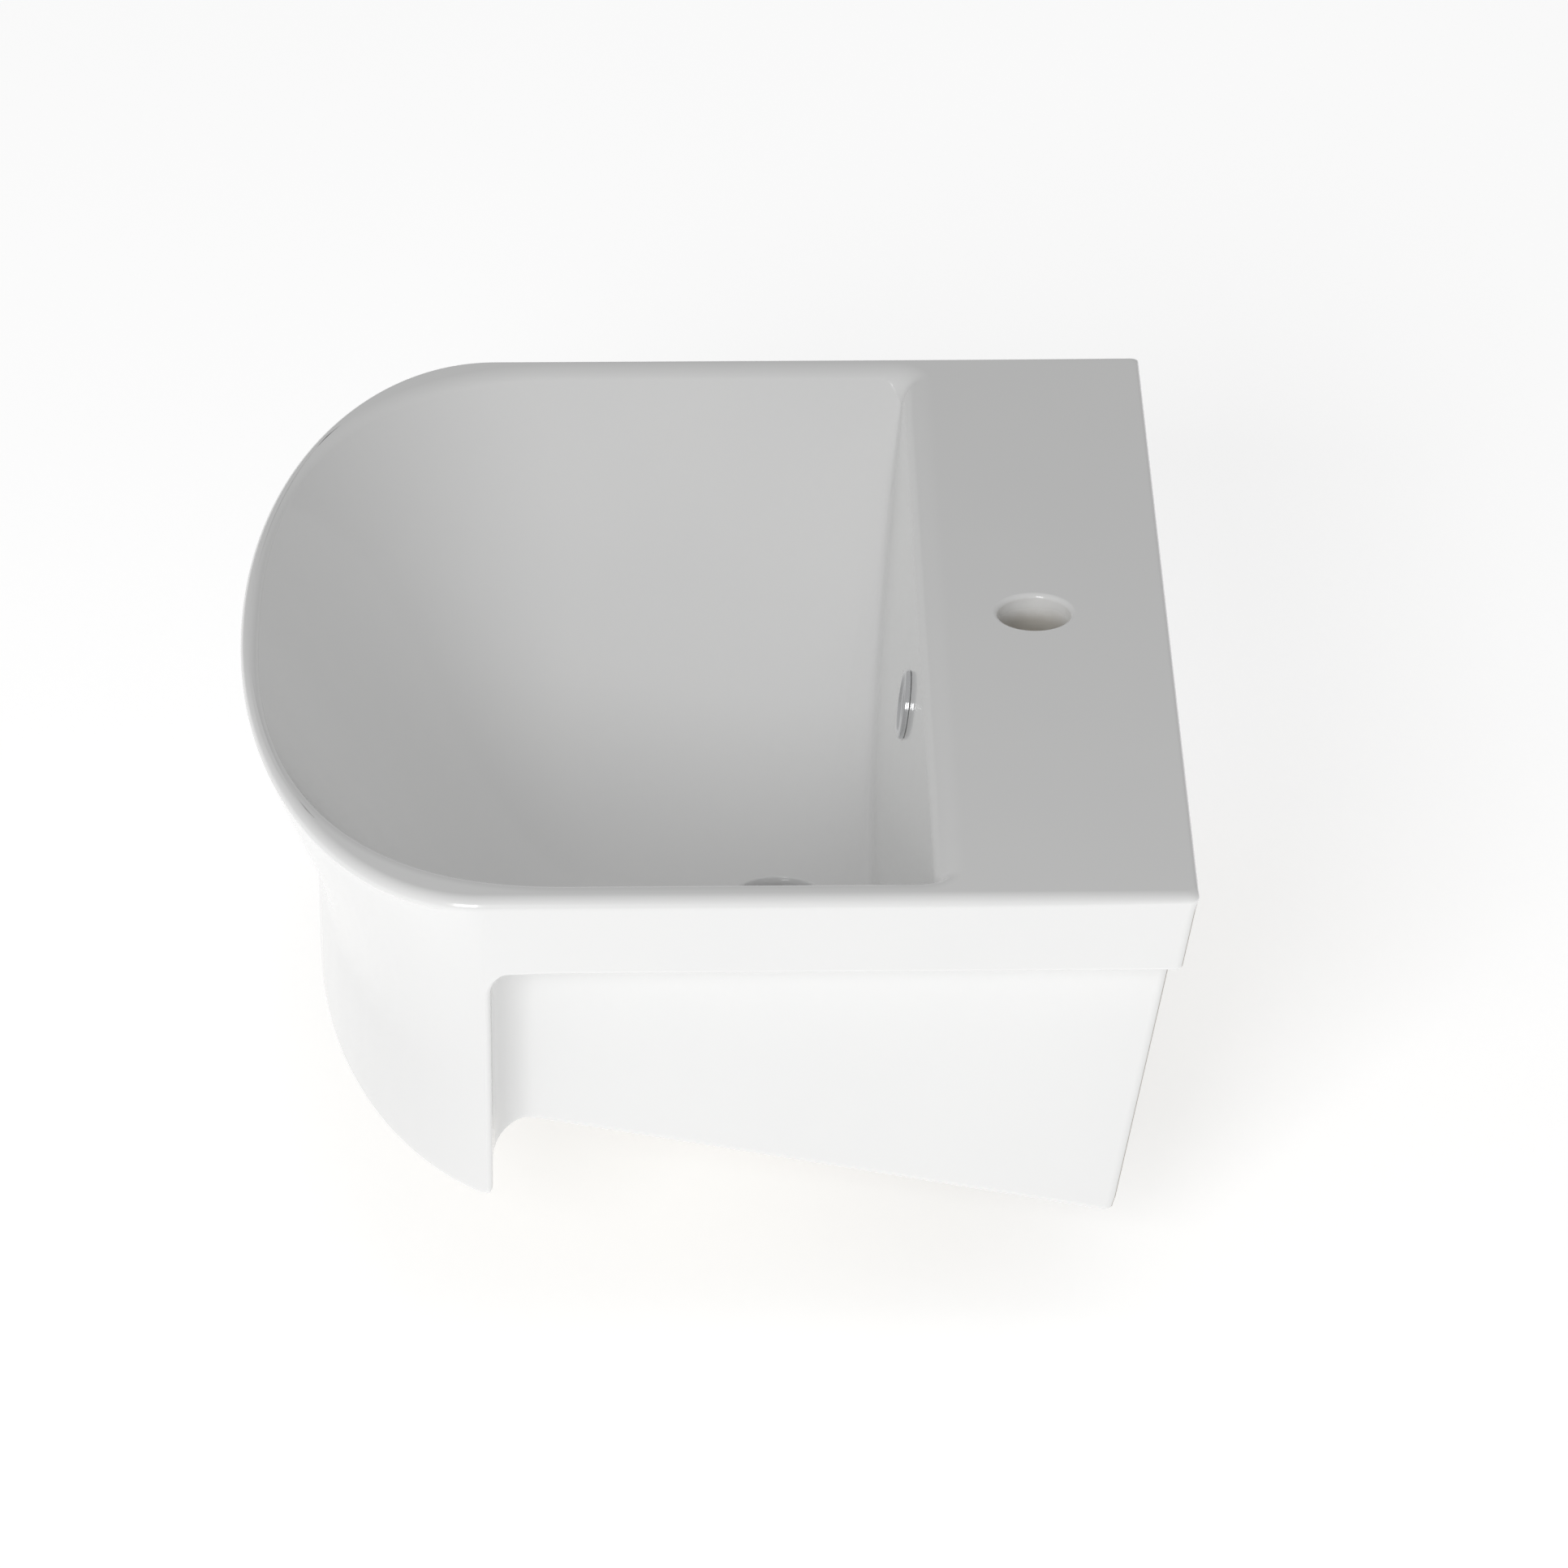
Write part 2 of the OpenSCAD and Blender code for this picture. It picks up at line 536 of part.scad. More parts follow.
// Fins that guide a round part in the barrel
module fins(r, z, h) {
    for (a = [0:90:270]) rotate([0, 0, a]) translate([r - 0.4, -0.8, z]) cube([0.9, 1.6, h]);
}
module click_rotor() {
    color(PLASTIC) at_seat() difference() {
        union() {
            translate([0, 0, rotor_low]) cylinder(r = head_r, h = rotor_h, $fn = 96);
            fins(head_r, rotor_low, rotor_h - 1.5);
        }
        translate([0, 0, rotor_low - 1]) cylinder(r = stub_r + 0.05, h = rotor_h + 2, $fn = 96);
    }
}
rod_top = flange_top + 1.1;
module click_plunger() {
    color(STEEL) at_seat() {
        translate([0, 0, head_top]) cylinder(r = rod_r, h = rod_top - head_top, $fn = 96);
        translate([0, 0, head_top - head_h]) cylinder(r = head_r, h = head_h, $fn = 96);
        fins(head_r, head_top - head_h, head_h);
        translate([0, 0, rotor_low - 0.6]) cylinder(r = stub_r, h = rotor_h + 1.1, $fn = 96);
    }
}

// Plug: a locknut on the rod, a seal and a low domed cap
cap_t = 1.6;
cap_r = 19;
seal_t = 1.5;
seal_bore = 12;
lug_r = 7;
lug_low = -2.5;
module stem_locknut() {
    color(BRASS) at_seat() difference() {
        translate([0, 0, lug_low - 2.5]) cylinder(r = 5.2, h = 2.5, $fn = 6);
        translate([0, 0, lug_low - 4]) cylinder(r = rod_r, h = 6, $fn = 96);
    }
}
module plug_seal() {
    color(RUBBER) at_seat() washer(seal_bore, cap_r - 1.2, flange_top, flange_top + seal_t);
}
module plug_cap() {
    low = flange_top + seal_t;
    color(CHROME) at_seat() difference() {
        union() {
            rotate_extrude($fn = 96) polygon([[0, low], [cap_r - 0.5, low], [cap_r, low + 0.5],
                [cap_r - 0.5, low + 1], [cap_r - 2.5, low + 1.4], [8, low + cap_t], [0, low + cap_t]]);
            translate([0, 0, lug_low]) cylinder(r = lug_r, h = low - lug_low + 0.2, $fn = 96);
        }
        translate([0, 0, lug_low - 1]) cylinder(r = rod_r, h = rod_top - lug_low + 1, $fn = 96);
    }
}

basin_body();
overflow_ring();
overflow_sleeve();
waste_body();
flange_gasket();
spider_insert();
cone_gasket();
slip_washer();
back_nut();
click_barrel();
barrel_cap();
barrel_nut();
click_spring();
click_rotor();
click_plunger();
stem_locknut();
plug_seal();
plug_cap();
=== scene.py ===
# %% [markdown]
# # A semi-recessed washbasin
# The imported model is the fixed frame: one ceramic casting, a chrome overflow ring and a push-open
# waste. This lesson rebuilds what the eye sees. Each cell says what a piece is on the real basin, how
# it could be made and why this way was chosen. Everything is in metres, in the frame of the packed
# model: X is the width, the wall is at Y = 0, the front faces -Y, and Z = 0 is the worktop.

import json
import math

import bpy
import numpy as np
from mathutils import Matrix, Vector


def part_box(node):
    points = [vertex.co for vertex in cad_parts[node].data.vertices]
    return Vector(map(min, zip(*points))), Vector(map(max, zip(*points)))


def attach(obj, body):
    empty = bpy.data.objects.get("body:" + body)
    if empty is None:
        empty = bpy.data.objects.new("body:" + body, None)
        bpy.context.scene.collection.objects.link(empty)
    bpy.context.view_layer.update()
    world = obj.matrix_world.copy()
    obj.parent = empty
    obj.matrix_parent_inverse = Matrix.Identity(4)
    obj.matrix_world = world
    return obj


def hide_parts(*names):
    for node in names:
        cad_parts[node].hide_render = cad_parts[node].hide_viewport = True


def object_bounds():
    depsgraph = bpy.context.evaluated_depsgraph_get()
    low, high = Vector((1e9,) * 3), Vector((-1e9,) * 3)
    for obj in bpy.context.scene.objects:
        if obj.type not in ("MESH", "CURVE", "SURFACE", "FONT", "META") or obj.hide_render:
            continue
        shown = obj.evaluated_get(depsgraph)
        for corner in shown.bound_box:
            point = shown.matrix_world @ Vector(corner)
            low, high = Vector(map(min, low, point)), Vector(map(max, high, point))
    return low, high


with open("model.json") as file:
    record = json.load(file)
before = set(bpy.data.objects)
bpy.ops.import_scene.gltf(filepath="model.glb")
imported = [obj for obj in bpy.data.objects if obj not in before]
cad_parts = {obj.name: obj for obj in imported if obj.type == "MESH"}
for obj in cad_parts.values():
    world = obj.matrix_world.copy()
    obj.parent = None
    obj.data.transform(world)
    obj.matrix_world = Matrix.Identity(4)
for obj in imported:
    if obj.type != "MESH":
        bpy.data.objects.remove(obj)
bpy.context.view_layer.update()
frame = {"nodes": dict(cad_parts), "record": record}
print("frame:", sorted(frame["nodes"]))


# %% [markdown]
# ## Measures from the frame
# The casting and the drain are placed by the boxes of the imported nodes. A millimetre is the unit that
# a maker of basins thinks in, so the shape formulas run in millimetres and are turned into metres once,
# when a mesh is made. The other sizes below are the maker's own, such as the radius of an edge.

# %% Sizes of the basin
MM = 0.001
low, high = (np.array(corner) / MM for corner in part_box("basin_body"))
HALF_W = high[0]
FRONT_Y = low[1]
RIM_H = high[2]
SKIRT_DEPTH = RIM_H - low[2]
cap_low, cap_high = (np.array(corner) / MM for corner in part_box("plug_cap"))
DRAIN_Y = (cap_low[1] + cap_high[1]) / 2
SEAT_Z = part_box("flange_gasket")[0][2] / MM
SEAT_DEPTH = RIM_H - SEAT_Z
mounts = {mount["name"]: mount for mount in frame["record"]["mounts"]}
TAP_Y = mounts["tap_hole"]["pos_m"][1] / MM
TAP_R = mounts["tap_hole"]["dims"]["r_mm"]
LEDGE_W = 37
PANEL_X = HALF_W - LEDGE_W
BACK_LEAN = 0.178  # the back face leans in by this share of the depth
print(f"casting {2 * HALF_W:.1f} x {-FRONT_Y:.1f} x {SKIRT_DEPTH:.1f} mm")
print(f"drain at {DRAIN_Y:.1f}, seat {SEAT_DEPTH:.1f} deep")


# %% [markdown]
# ## The outline of a ring
# The casting is one closed skin. It could be sculpted, or cut from a block with booleans, but a basin
# is drawn by its maker as outlines at many depths. So the skin is a grid: one parameter runs round the
# basin, the other runs from the drain up the bowl, over the rim, down the outside and back under.
# A ring is drawn as a half, from the middle of the back to the middle of the front, and mirrored.

# %% Points along half a ring
BACK, CORNER, DECK, SIDE, FILLET, TRAIL, BOW = 28, 9, 11, 18, 14, 8, 84
TURN = CORNER + DECK
STEP = FILLET + TRAIL
HALF = BACK + TURN + SIDE + STEP + BOW + 1
place = np.arange(HALF)


def ease(t):
    """Smooth step: 3 t squared minus 2 t cubed, with t held between 0 and 1."""
    t = np.clip(t, 0, 1)
    return t * t * (3 - 2 * t)


def mix(a, b, t):
    """Straight blend from a to b."""
    return a + (b - a) * t


def soft_min(a, b, k):
    """The smaller of a and b, with the corner between them rounded over a width k."""
    return (a + b - np.sqrt((a - b) ** 2 + k * k)) / 2


back_share = 1 - ease((place - BACK) / TURN)
front_share = np.sin(np.pi / 2 * np.clip((place - (HALF - 1 - BOW)) / BOW, 0, 1)) ** 2


def spread(back, side, front):
    """One value per ring point: side, blended to back along the wall and to front along the bow."""
    return side + (back - side) * back_share + (front - side) * front_share


print(f"{HALF} points on half a ring, {2 * (HALF - 1)} on a whole one")


# %% [markdown]
# The plan of a basin is straight at the back and along the sides, and bowed in front. The bow is a
# quarter of a superellipse: |x/a|^n + |y/b|^n = 1. With n = 2 it is an ellipse, and a larger n makes
# its shoulders squarer. It starts at the side with a slope or without one, as the side edge x and the
# half width a say.

# %% Plan outlines
BOW_LEAD = 24


def bow(x_edge, y_edge, y_front, a, n):
    """Superellipse from (x_edge, y_edge) to (0, y_front).
    x = a cos(q)^(2/n) and y = front + b - b sin(q)^(2/n), where b is the half depth that fits the edge."""
    v = max(0.0, 1 - (x_edge / a) ** n) ** (1 / n)
    b = (y_edge - y_front) / (1 - v)
    q = np.linspace(math.asin(v ** (n / 2)), np.pi / 2, BOW + 1)
    x = a * np.cos(q).clip(0) ** (2 / n)
    x[-1] = 0
    return np.stack([x, y_front + b - b * np.sin(q) ** (2 / n)], 1)


def run(x0, y0, x1, y1, n):
    """n points of a straight line, without its last one."""
    t = np.arange(n)[:, None] / n
    return mix(np.array([[x0, y0]]), np.array([[x1, y1]]), t)


def turn(x, y, r, n):
    """n points of the quarter circle that rounds the corner (x, y) with radius r, without its last one."""
    q = np.pi / 2 * np.arange(n) / n
    return np.stack([x - r + r * np.sin(q), y - r + r * np.cos(q)], 1)


def inner_half(x, y_back, r, y_bow, y_front, n):
    """Half the outline of a bowl: back edge, one rounded corner, side and bow."""
    y_step = y_bow + BOW_LEAD
    return np.concatenate([
        run(0, y_back, x - r, y_back, BACK), turn(x, y_back, r, TURN),
        run(x, y_back - r, x, y_step, SIDE), run(x, y_step, x, y_bow, STEP),
        bow(x, y_bow, y_front, x, n)])


TRAIL_Y = -319.7
TRAIL_R = 2.5
APRON_FILLET = 22
DECK_D = 117


def step_half(x_rear, x_trail, y, r):
    """From the side panel through a hollow corner of radius r to the rounded trailing edge of the apron.
    With no hollow corner it is a straight side."""
    if r <= 0:
        return run(x_rear, y + APRON_FILLET, x_trail, y - TRAIL_R, STEP)
    q = np.linspace(0, np.pi / 2, FILLET)
    hollow = np.stack([x_rear + r - r * np.cos(q), y + r - r * np.sin(q)], 1)
    return np.concatenate([hollow, turn(x_trail, y, TRAIL_R, TRAIL)])


def outer_half(x_rear, x_trail, y_back, r, y_trail, y_bow, y_front, a, n, fillet):
    """Half an outside outline: back edge, small corner, deck side, side, step to the apron and bow."""
    y_side = y_trail + (fillet if fillet > 0 else APRON_FILLET)
    return np.concatenate([
        run(0, y_back, x_rear - r, y_back, BACK), turn(x_rear, y_back, r, CORNER),
        run(x_rear, y_back - r, x_rear, -DECK_D, DECK), run(x_rear, -DECK_D, x_rear, y_side, SIDE),
        step_half(x_rear, x_trail, y_trail, fillet), bow(x_trail, y_bow, y_front, a, n)])


def ring(plan, depth):
    """A plan outline with its depths below the top of the rim."""
    return np.column_stack([plan, np.broadcast_to(depth, HALF)])


# %% [markdown]
# ## The bowl
# The bowl is a scoop: its level lines are D shapes, and its depth grows as 1 - F^p from the rim to the
# drain, where F is how far out a point lies. The back wall is a plane that leans 7.5 degrees. A
# rounded minimum joins the two, so the foot of the wall is a soft hollow and not a crease, as the
# slip that fills the mould leaves it.

# %% Depth of the bowl
INNER_X, INNER_BACK, INNER_FRONT = HALF_W - 18, -(DECK_D + 1.6), FRONT_Y + 9
INNER_BOW_Y, INNER_N = -281, 2.45
BOWL_DEPTH = 156.5
SCOOP_START, SCOOP_P, FLOOR_CURVE = 3.6, 2.3, 0.0008
WALL_START, WALL_LEAN, FOOT_BLEND = 12.2, 0.1317, 16
WALL_T = 11
WALL_OUT = WALL_T * math.sqrt(1 + WALL_LEAN**2)
BOWL_CORNER_R = 13
FLAT_SIDE, FLAT_BACK, FLAT_FRONT, FLAT_CORNER_R = 7, 12.3, 4.6, 20


def scoop(x, y):
    """Depth of the scoop: start + (deepest - curve y^2 - start)(1 - F^p), with F the share of the D shape."""
    u = np.abs(x) / INNER_X
    v = np.maximum(0, INNER_BOW_Y - y) / (INNER_BOW_Y - INNER_FRONT)
    share = np.minimum(1, (u**INNER_N + v**INNER_N) ** (1 / INNER_N))
    deepest = BOWL_DEPTH + 0.7 - SCOOP_START - FLOOR_CURVE * (y - DRAIN_Y) ** 2
    return SCOOP_START + deepest * (1 - share**SCOOP_P)


def back_wall(y):
    """Depth at which the leaning back wall passes over y."""
    return WALL_START + (INNER_BACK - y) / WALL_LEAN


def bowl_at(x, y):
    """Depth of the bowl: the scoop, cut by the back wall with a rounded foot."""
    s = scoop(x, y)
    return soft_min(s, back_wall(y), FOOT_BLEND * np.clip(s / 50, 0, 1))


def under_at(x, y):
    """Depth of the underside: the scoop and the wall, each moved out by the thickness of the ceramic."""
    e = 0.5
    gx = (scoop(x + e, y) - scoop(x - e, y)) / (2 * e)
    gy = (scoop(x, y + e) - scoop(x, y - e)) / (2 * e)
    moved_scoop = scoop(x, y) + WALL_T * np.sqrt(1 + gx**2 + gy**2)
    return soft_min(moved_scoop, back_wall(y - WALL_OUT), 2 * FOOT_BLEND)


edge_plan = inner_half(INNER_X, INNER_BACK, BOWL_CORNER_R, INNER_BOW_Y, INNER_FRONT, INNER_N)
flat_plan = inner_half(HALF_W - FLAT_SIDE, -(DECK_D - FLAT_BACK), FLAT_CORNER_R, INNER_BOW_Y,
                       FRONT_Y + FLAT_FRONT, INNER_N)


def drain_circle(r):
    """Half a circle round the drain, one point for each ring point."""
    q = np.pi * place / (HALF - 1)
    x = r * np.sin(q)
    x[-1] = 0
    return np.stack([x, DRAIN_Y + r * np.cos(q)], 1)


BOSS_R, BOSS_DEPTH = 38, 188
WELL_R, NECK_R, MOUTH_R = 23, 17.3, 1.1
FOOT_SHARE, FOOT_NARROW, FOOT_INSET = 0.42, 0.99, 15
behind = INNER_BACK - WALL_LEAN * (scoop(edge_plan[:, 0], INNER_BACK - FOOT_INSET) - WALL_START)
by_wall = back_share[:, None] ** 0.35
foot_plan = mix(mix(edge_plan, drain_circle(BOSS_R), FOOT_SHARE),
                np.stack([edge_plan[:, 0] * FOOT_NARROW, behind], 1), by_wall)
lip_turn = np.radians(spread(82, 69, 65))


def draped(plan):
    """A ring that lies on the bowl's surface."""
    return ring(plan, bowl_at(plan[:, 0], plan[:, 1]))


def lip_ring(t):
    """Rounded inner edge of the rim: an arc from the flat top (t = 0) to the start of the bowl (t = 1)."""
    q = lip_turn * t
    plan = mix(flat_plan, edge_plan, (np.sin(q) / np.sin(lip_turn))[:, None])
    return ring(plan, bowl_at(edge_plan[:, 0], edge_plan[:, 1]) * (1 - np.cos(q)) / (1 - np.cos(lip_turn)))


wall_t = 1 - (1 - np.linspace(0, 1, 34)) ** 1.25
floor_t = np.linspace(0, 1, 34)[1:] ** 1.35
print(f"bowl is {bowl_at(np.array([0.0]), np.array([DRAIN_Y]))[0]:.1f} mm deep at the drain")


# %% [markdown]
# ## The rim and the apron
# The rim is a band about 38 mm high with rounded edges. Under it the sides step in, so that the basin
# can drop into a worktop, and the front runs on down as an apron that leans back. The apron's ends
# stand proud of the side panels: a hollow corner and a rounded trailing edge join them.

# %% Outside of the casting
NOTCH_R = 11
LEDGE_EDGE = 1.6
BACK_CORNER_R = 4
EDGE_SIDE, EDGE_BACK, EDGE_FRONT = 6, 2.5, 4.5
FLARE_FROM, FLARE_RUN, FLARE_POWER = 3.6, 99.5, 0.85
APRON_A, RIM_N, APRON_N, LOW_POWER = 301, 2.05, 2.22, 0.3
APRON_FRONT, APRON_SIDE_DEPTH, APRON_FRONT_DEPTH = -405.5, 155.2, 159.6
PANEL_FRONT_DEPTH, PANEL_SLOPE, PANEL_START = 135, 0.195, 9


def flare(d):
    """How far the apron has leaned back at a depth, 0 at the rim and 1 at its lower part."""
    return float(ease(max(0, min(1, (d - FLARE_FROM) / FLARE_RUN)) ** FLARE_POWER))


def front_at(d):
    """Y of the front at a depth: it goes from the rim's to the apron's as the flare does."""
    return mix(FRONT_Y, APRON_FRONT, flare(d))


def apron_a_at(d):
    """Half width of the bow's superellipse at a depth, by the same blend."""
    return mix(HALF_W, APRON_A, flare(d))


def apron_n_at(d):
    """Power of the bow's superellipse at a depth, by the same blend."""
    return mix(RIM_N, APRON_N, flare(d))


def low_at(plan):
    """Lowest depth of the outside under each ring point: apron, step and side panel."""
    x, y = plan[:, 0], plan[:, 1]
    apron = mix(APRON_SIDE_DEPTH, APRON_FRONT_DEPTH, (1 - x / HALF_W) ** LOW_POWER)
    panel = PANEL_FRONT_DEPTH + PANEL_SLOPE * (y - TRAIL_Y - PANEL_START)
    step = mix(PANEL_FRONT_DEPTH, APRON_SIDE_DEPTH, (x - PANEL_X) / (HALF_W - PANEL_X))
    return np.minimum(SKIRT_DEPTH, np.where(y < TRAIL_Y - 1, apron, np.maximum(panel, step)))


def rim_ring(d, in_side, in_back, in_bow, in_front, notch):
    """Outer face of the rim at a depth, drawn in by the rounding of its edges."""
    plan = outer_half(HALF_W - in_side, HALF_W - in_bow, -BACK_LEAN * d - in_back, BACK_CORNER_R,
                      TRAIL_Y + notch, TRAIL_Y - TRAIL_R, front_at(d) + in_front,
                      apron_a_at(d) - in_bow, apron_n_at(d), 0)
    return ring(plan, d)


def top_edge_ring(q):
    """Rounded outer edge of the rim: q is 90 degrees at the flat top and 0 on the outer face."""
    w = 1 - math.cos(q)
    plan = rim_ring(0, EDGE_SIDE * w, EDGE_BACK * w, EDGE_SIDE * w, EDGE_FRONT * w, 0)[:, :2]
    return ring(plan, spread(EDGE_BACK, EDGE_SIDE, EDGE_FRONT) * (1 - math.sin(q)))


PAST_LEDGE, LEAN_ROOM, CORNER_ROOM = 0.8, 1.3, 4
past_ledge = PAST_LEDGE * np.where(place < BACK + CORNER, np.clip((BACK + CORNER - place) / CORNER, 0, 1),
                                   np.clip(place - (HALF - 2 - BOW), 0, 1))


def skirt_plan(d_back, d_front, notch, inward):
    """Plan of the outside below the ledge, moved in by some of the wall's thickness."""
    x_trail = HALF_W - inward * (1 + LEAN_ROOM * flare(d_front))
    hollow = min(APRON_FILLET + inward, x_trail - PANEL_X + inward - CORNER_ROOM)
    return outer_half(PANEL_X - inward, x_trail, -BACK_LEAN * d_back - inward, BACK_CORNER_R,
                      TRAIL_Y + notch - inward, TRAIL_Y - TRAIL_R - inward, front_at(d_front) + inward,
                      apron_a_at(d_front) - inward, apron_n_at(d_front), hollow)


low_depth = low_at(skirt_plan(SKIRT_DEPTH, APRON_FRONT_DEPTH, 0, 0))


def notch_at(drop):
    """Hollow under the ledge at the back of the apron: a quarter circle of radius NOTCH_R."""
    return NOTCH_R - math.sqrt(NOTCH_R**2 - (NOTCH_R - drop) ** 2) if drop < NOTCH_R else 0


def skirt_ring(drop, t, inward, lift):
    """Outside below the ledge: t runs from drop mm under the ledge to the lowest edge."""
    d0 = RIM_H + drop
    d_back = mix(d0 + past_ledge[0], SKIRT_DEPTH, t)
    d_front = mix(d0 + past_ledge[-1], APRON_FRONT_DEPTH, t)
    plan = skirt_plan(d_back, d_front, notch_at(drop), inward)
    return ring(plan, mix(d0 + past_ledge, low_depth, t) - lift)


roof_depth = spread(18, 62, 74)
UNDER_X, UNDER_BACK, UNDER_BOW_Y, UNDER_FRONT = 221, -107, -334, -395
UNDER_CORNER_R, UNDER_N, UNDER_NARROW, UNDER_INSET = 12, 2.2, 0.98, 4


def roof_ring(inward, drop):
    """Outer line of the hollow's roof, under the deck and the ledge."""
    plan = skirt_ring(NOTCH_R, 0.25, WALL_T + inward, 0)[:, :2]
    return ring(plan, roof_depth + drop)


def inner_skirt_ring(t):
    """Inner face of the skirt, from the roof down to the lowest edge."""
    return mix(roof_ring(0, 6), skirt_ring(NOTCH_R, 1, WALL_T, 2), t)


def roof_inner_ring(outward, drop):
    """Inner line of the roof, where it meets the underside of the bowl."""
    plan = inner_half(UNDER_X - outward, UNDER_BACK - outward, UNDER_CORNER_R, UNDER_BOW_Y,
                      UNDER_FRONT + outward, UNDER_N)
    return ring(plan, roof_depth + drop)


roof_inner = roof_inner_ring(2, 3)
deep = scoop(roof_inner[:, 0], INNER_BACK) + WALL_T - UNDER_INSET
wall_foot_y = INNER_BACK + WALL_OUT - WALL_LEAN * (deep - WALL_START)
under_foot = mix(mix(roof_inner[:, :2], drain_circle(BOSS_R), FOOT_SHARE),
                 np.stack([roof_inner[:, 0] * UNDER_NARROW, wall_foot_y], 1), by_wall)


def under_ring(t):
    """Underside of the bowl: t is 0 at the roof, 1 by the foot of the wall and 2 at the drain boss."""
    if t < 1:
        plan = mix(roof_inner[:, :2], under_foot, t)
    else:
        plan = mix(under_foot, drain_circle(BOSS_R + 5), t - 1)
    return ring(plan, np.maximum(under_at(plan[:, 0], plan[:, 1]), roof_inner[:, 2] + 2 + 6 * t))


def disc_ring(r, d):
    """A level circle of radius r round the drain, at one depth."""
    return ring(drain_circle(r), d)


# %% [markdown]
# ## All rings in order
# The rings form one closed loop: from the bottom of the drain's neck up the well, over the bowl and the
# rim, down the outside, round the lowest edge, up inside the skirt, under the bowl and back to the
# neck. Edges that a potter wipes with a sponge, such as the mouth of the drain, are quarter circles.

# %% Rings of the casting
def arc_steps(n):
    """Sine and 1 - cosine of n + 1 angles from 0 to 90 degrees, for a quarter circle."""
    q = np.linspace(0, np.pi / 2, n + 1)
    return list(zip(np.sin(q), 1 - np.cos(q)))


NECK_EDGE, SEAT_EDGE, FOOT_EDGE = 2, 0.8, 3
rings = []
mouth_plan = drain_circle(WELL_R + MOUTH_R)
mouth_depth = bowl_at(mouth_plan[:, 0], mouth_plan[:, 1])
rings += [disc_ring(NECK_R + NECK_EDGE * (1 - s), BOSS_DEPTH - NECK_EDGE * c) for s, c in arc_steps(4)]
rings += [disc_ring(NECK_R, SEAT_DEPTH + 1)]
rings += [disc_ring(NECK_R + c, SEAT_DEPTH + 1 - s) for s, c in arc_steps(4)]
seat_row = len(rings)
rings += [disc_ring(WELL_R - SEAT_EDGE + SEAT_EDGE * s, SEAT_DEPTH - SEAT_EDGE * c) for s, c in arc_steps(4)]
rings += [ring(drain_circle(WELL_R + MOUTH_R * c), mouth_depth + MOUTH_R * (1 - s))
          for s, c in arc_steps(8)]
rings += [draped(mix(foot_plan, mouth_plan, t)) for t in floor_t[::-1][1:]]
rings += [draped(mix(edge_plan, foot_plan, t)) for t in wall_t[:0:-1]]
rings += [lip_ring(t) for t in np.linspace(1, 0, 17)]
rings += [top_edge_ring(q) for q in np.radians(np.linspace(90, 0, 11))]
rings += [rim_ring(d, 0, 0, 0, 0, notch) for d, notch in
          zip(np.linspace(9, RIM_H - LEDGE_EDGE, 6), np.linspace(0, NOTCH_R, 6))]
rings += [rim_ring(RIM_H - LEDGE_EDGE * (1 - s), LEDGE_EDGE * c, 0, 0, 0, NOTCH_R)
          for s, c in arc_steps(5)[1:]]
rings += [skirt_ring(NOTCH_R * c, 0, 0, 0) for s, c in arc_steps(9)]
rings += [skirt_ring(NOTCH_R, t, 0, 0) for t in np.linspace(0, 0.95, 22)[1:]]
rings += [skirt_ring(NOTCH_R, 1, FOOT_EDGE * c, FOOT_EDGE * (1 - s)) for s, c in arc_steps(6)]
foot_row = len(rings) - 2
rings += [skirt_ring(NOTCH_R, 1, WALL_T - 2 + 2 * s, 2 * c) for s, c in arc_steps(4)]
rings += [inner_skirt_ring(t) for t in np.linspace(1, 0, 12)[1:]]
rings += [roof_ring(1, 1.6), roof_ring(3, 0), roof_inner_ring(-1, 0), roof_inner_ring(2, 3)]
rings += [under_ring(t) for t in np.concatenate([np.linspace(0.08, 1, 16), np.linspace(1.06, 1.88, 12)])]
rings += [disc_ring(BOSS_R + 3, BOWL_DEPTH + WALL_T), disc_ring(BOSS_R, BOWL_DEPTH + WALL_T + 5)]
rings += [disc_ring(BOSS_R - NECK_EDGE * c, BOSS_DEPTH - NECK_EDGE * (1 - s)) for s, c in arc_steps(4)]
half_grid = np.array(rings)
print(f"{len(rings)} rings")


# %% [markdown]
# ## From rings to a mesh
# The rings are mirrored and joined into quads, first to last, so the skin closes in both directions and
# has no edge. If its volume comes out negative the faces point inwards, and their order is turned.

# %% Mesh helpers
def grid_faces(rows, columns, close_rows, close_columns):
    """Quads between neighbouring points of a grid, wrapped round where a direction is closed."""
    i = np.arange(rows if close_rows else rows - 1)[:, None]
    j = np.arange(columns if close_columns else columns - 1)[None, :]
    i2, j2 = (i + 1) % rows, (j + 1) % columns
    corners = [i * columns + j, i * columns + j2, i2 * columns + j2, i2 * columns + j]
    return np.stack(corners, -1).reshape(-1, 4)


def signed_volume(points, quads):
    """Six times the volume inside a closed mesh: the sum of a . (b x c) over its triangles."""
    a, b, c, d = (points[quads[:, k]] for k in range(4))
    return np.einsum("ij,ij->", a, np.cross(b, c)) + np.einsum("ij,ij->", a, np.cross(c, d))


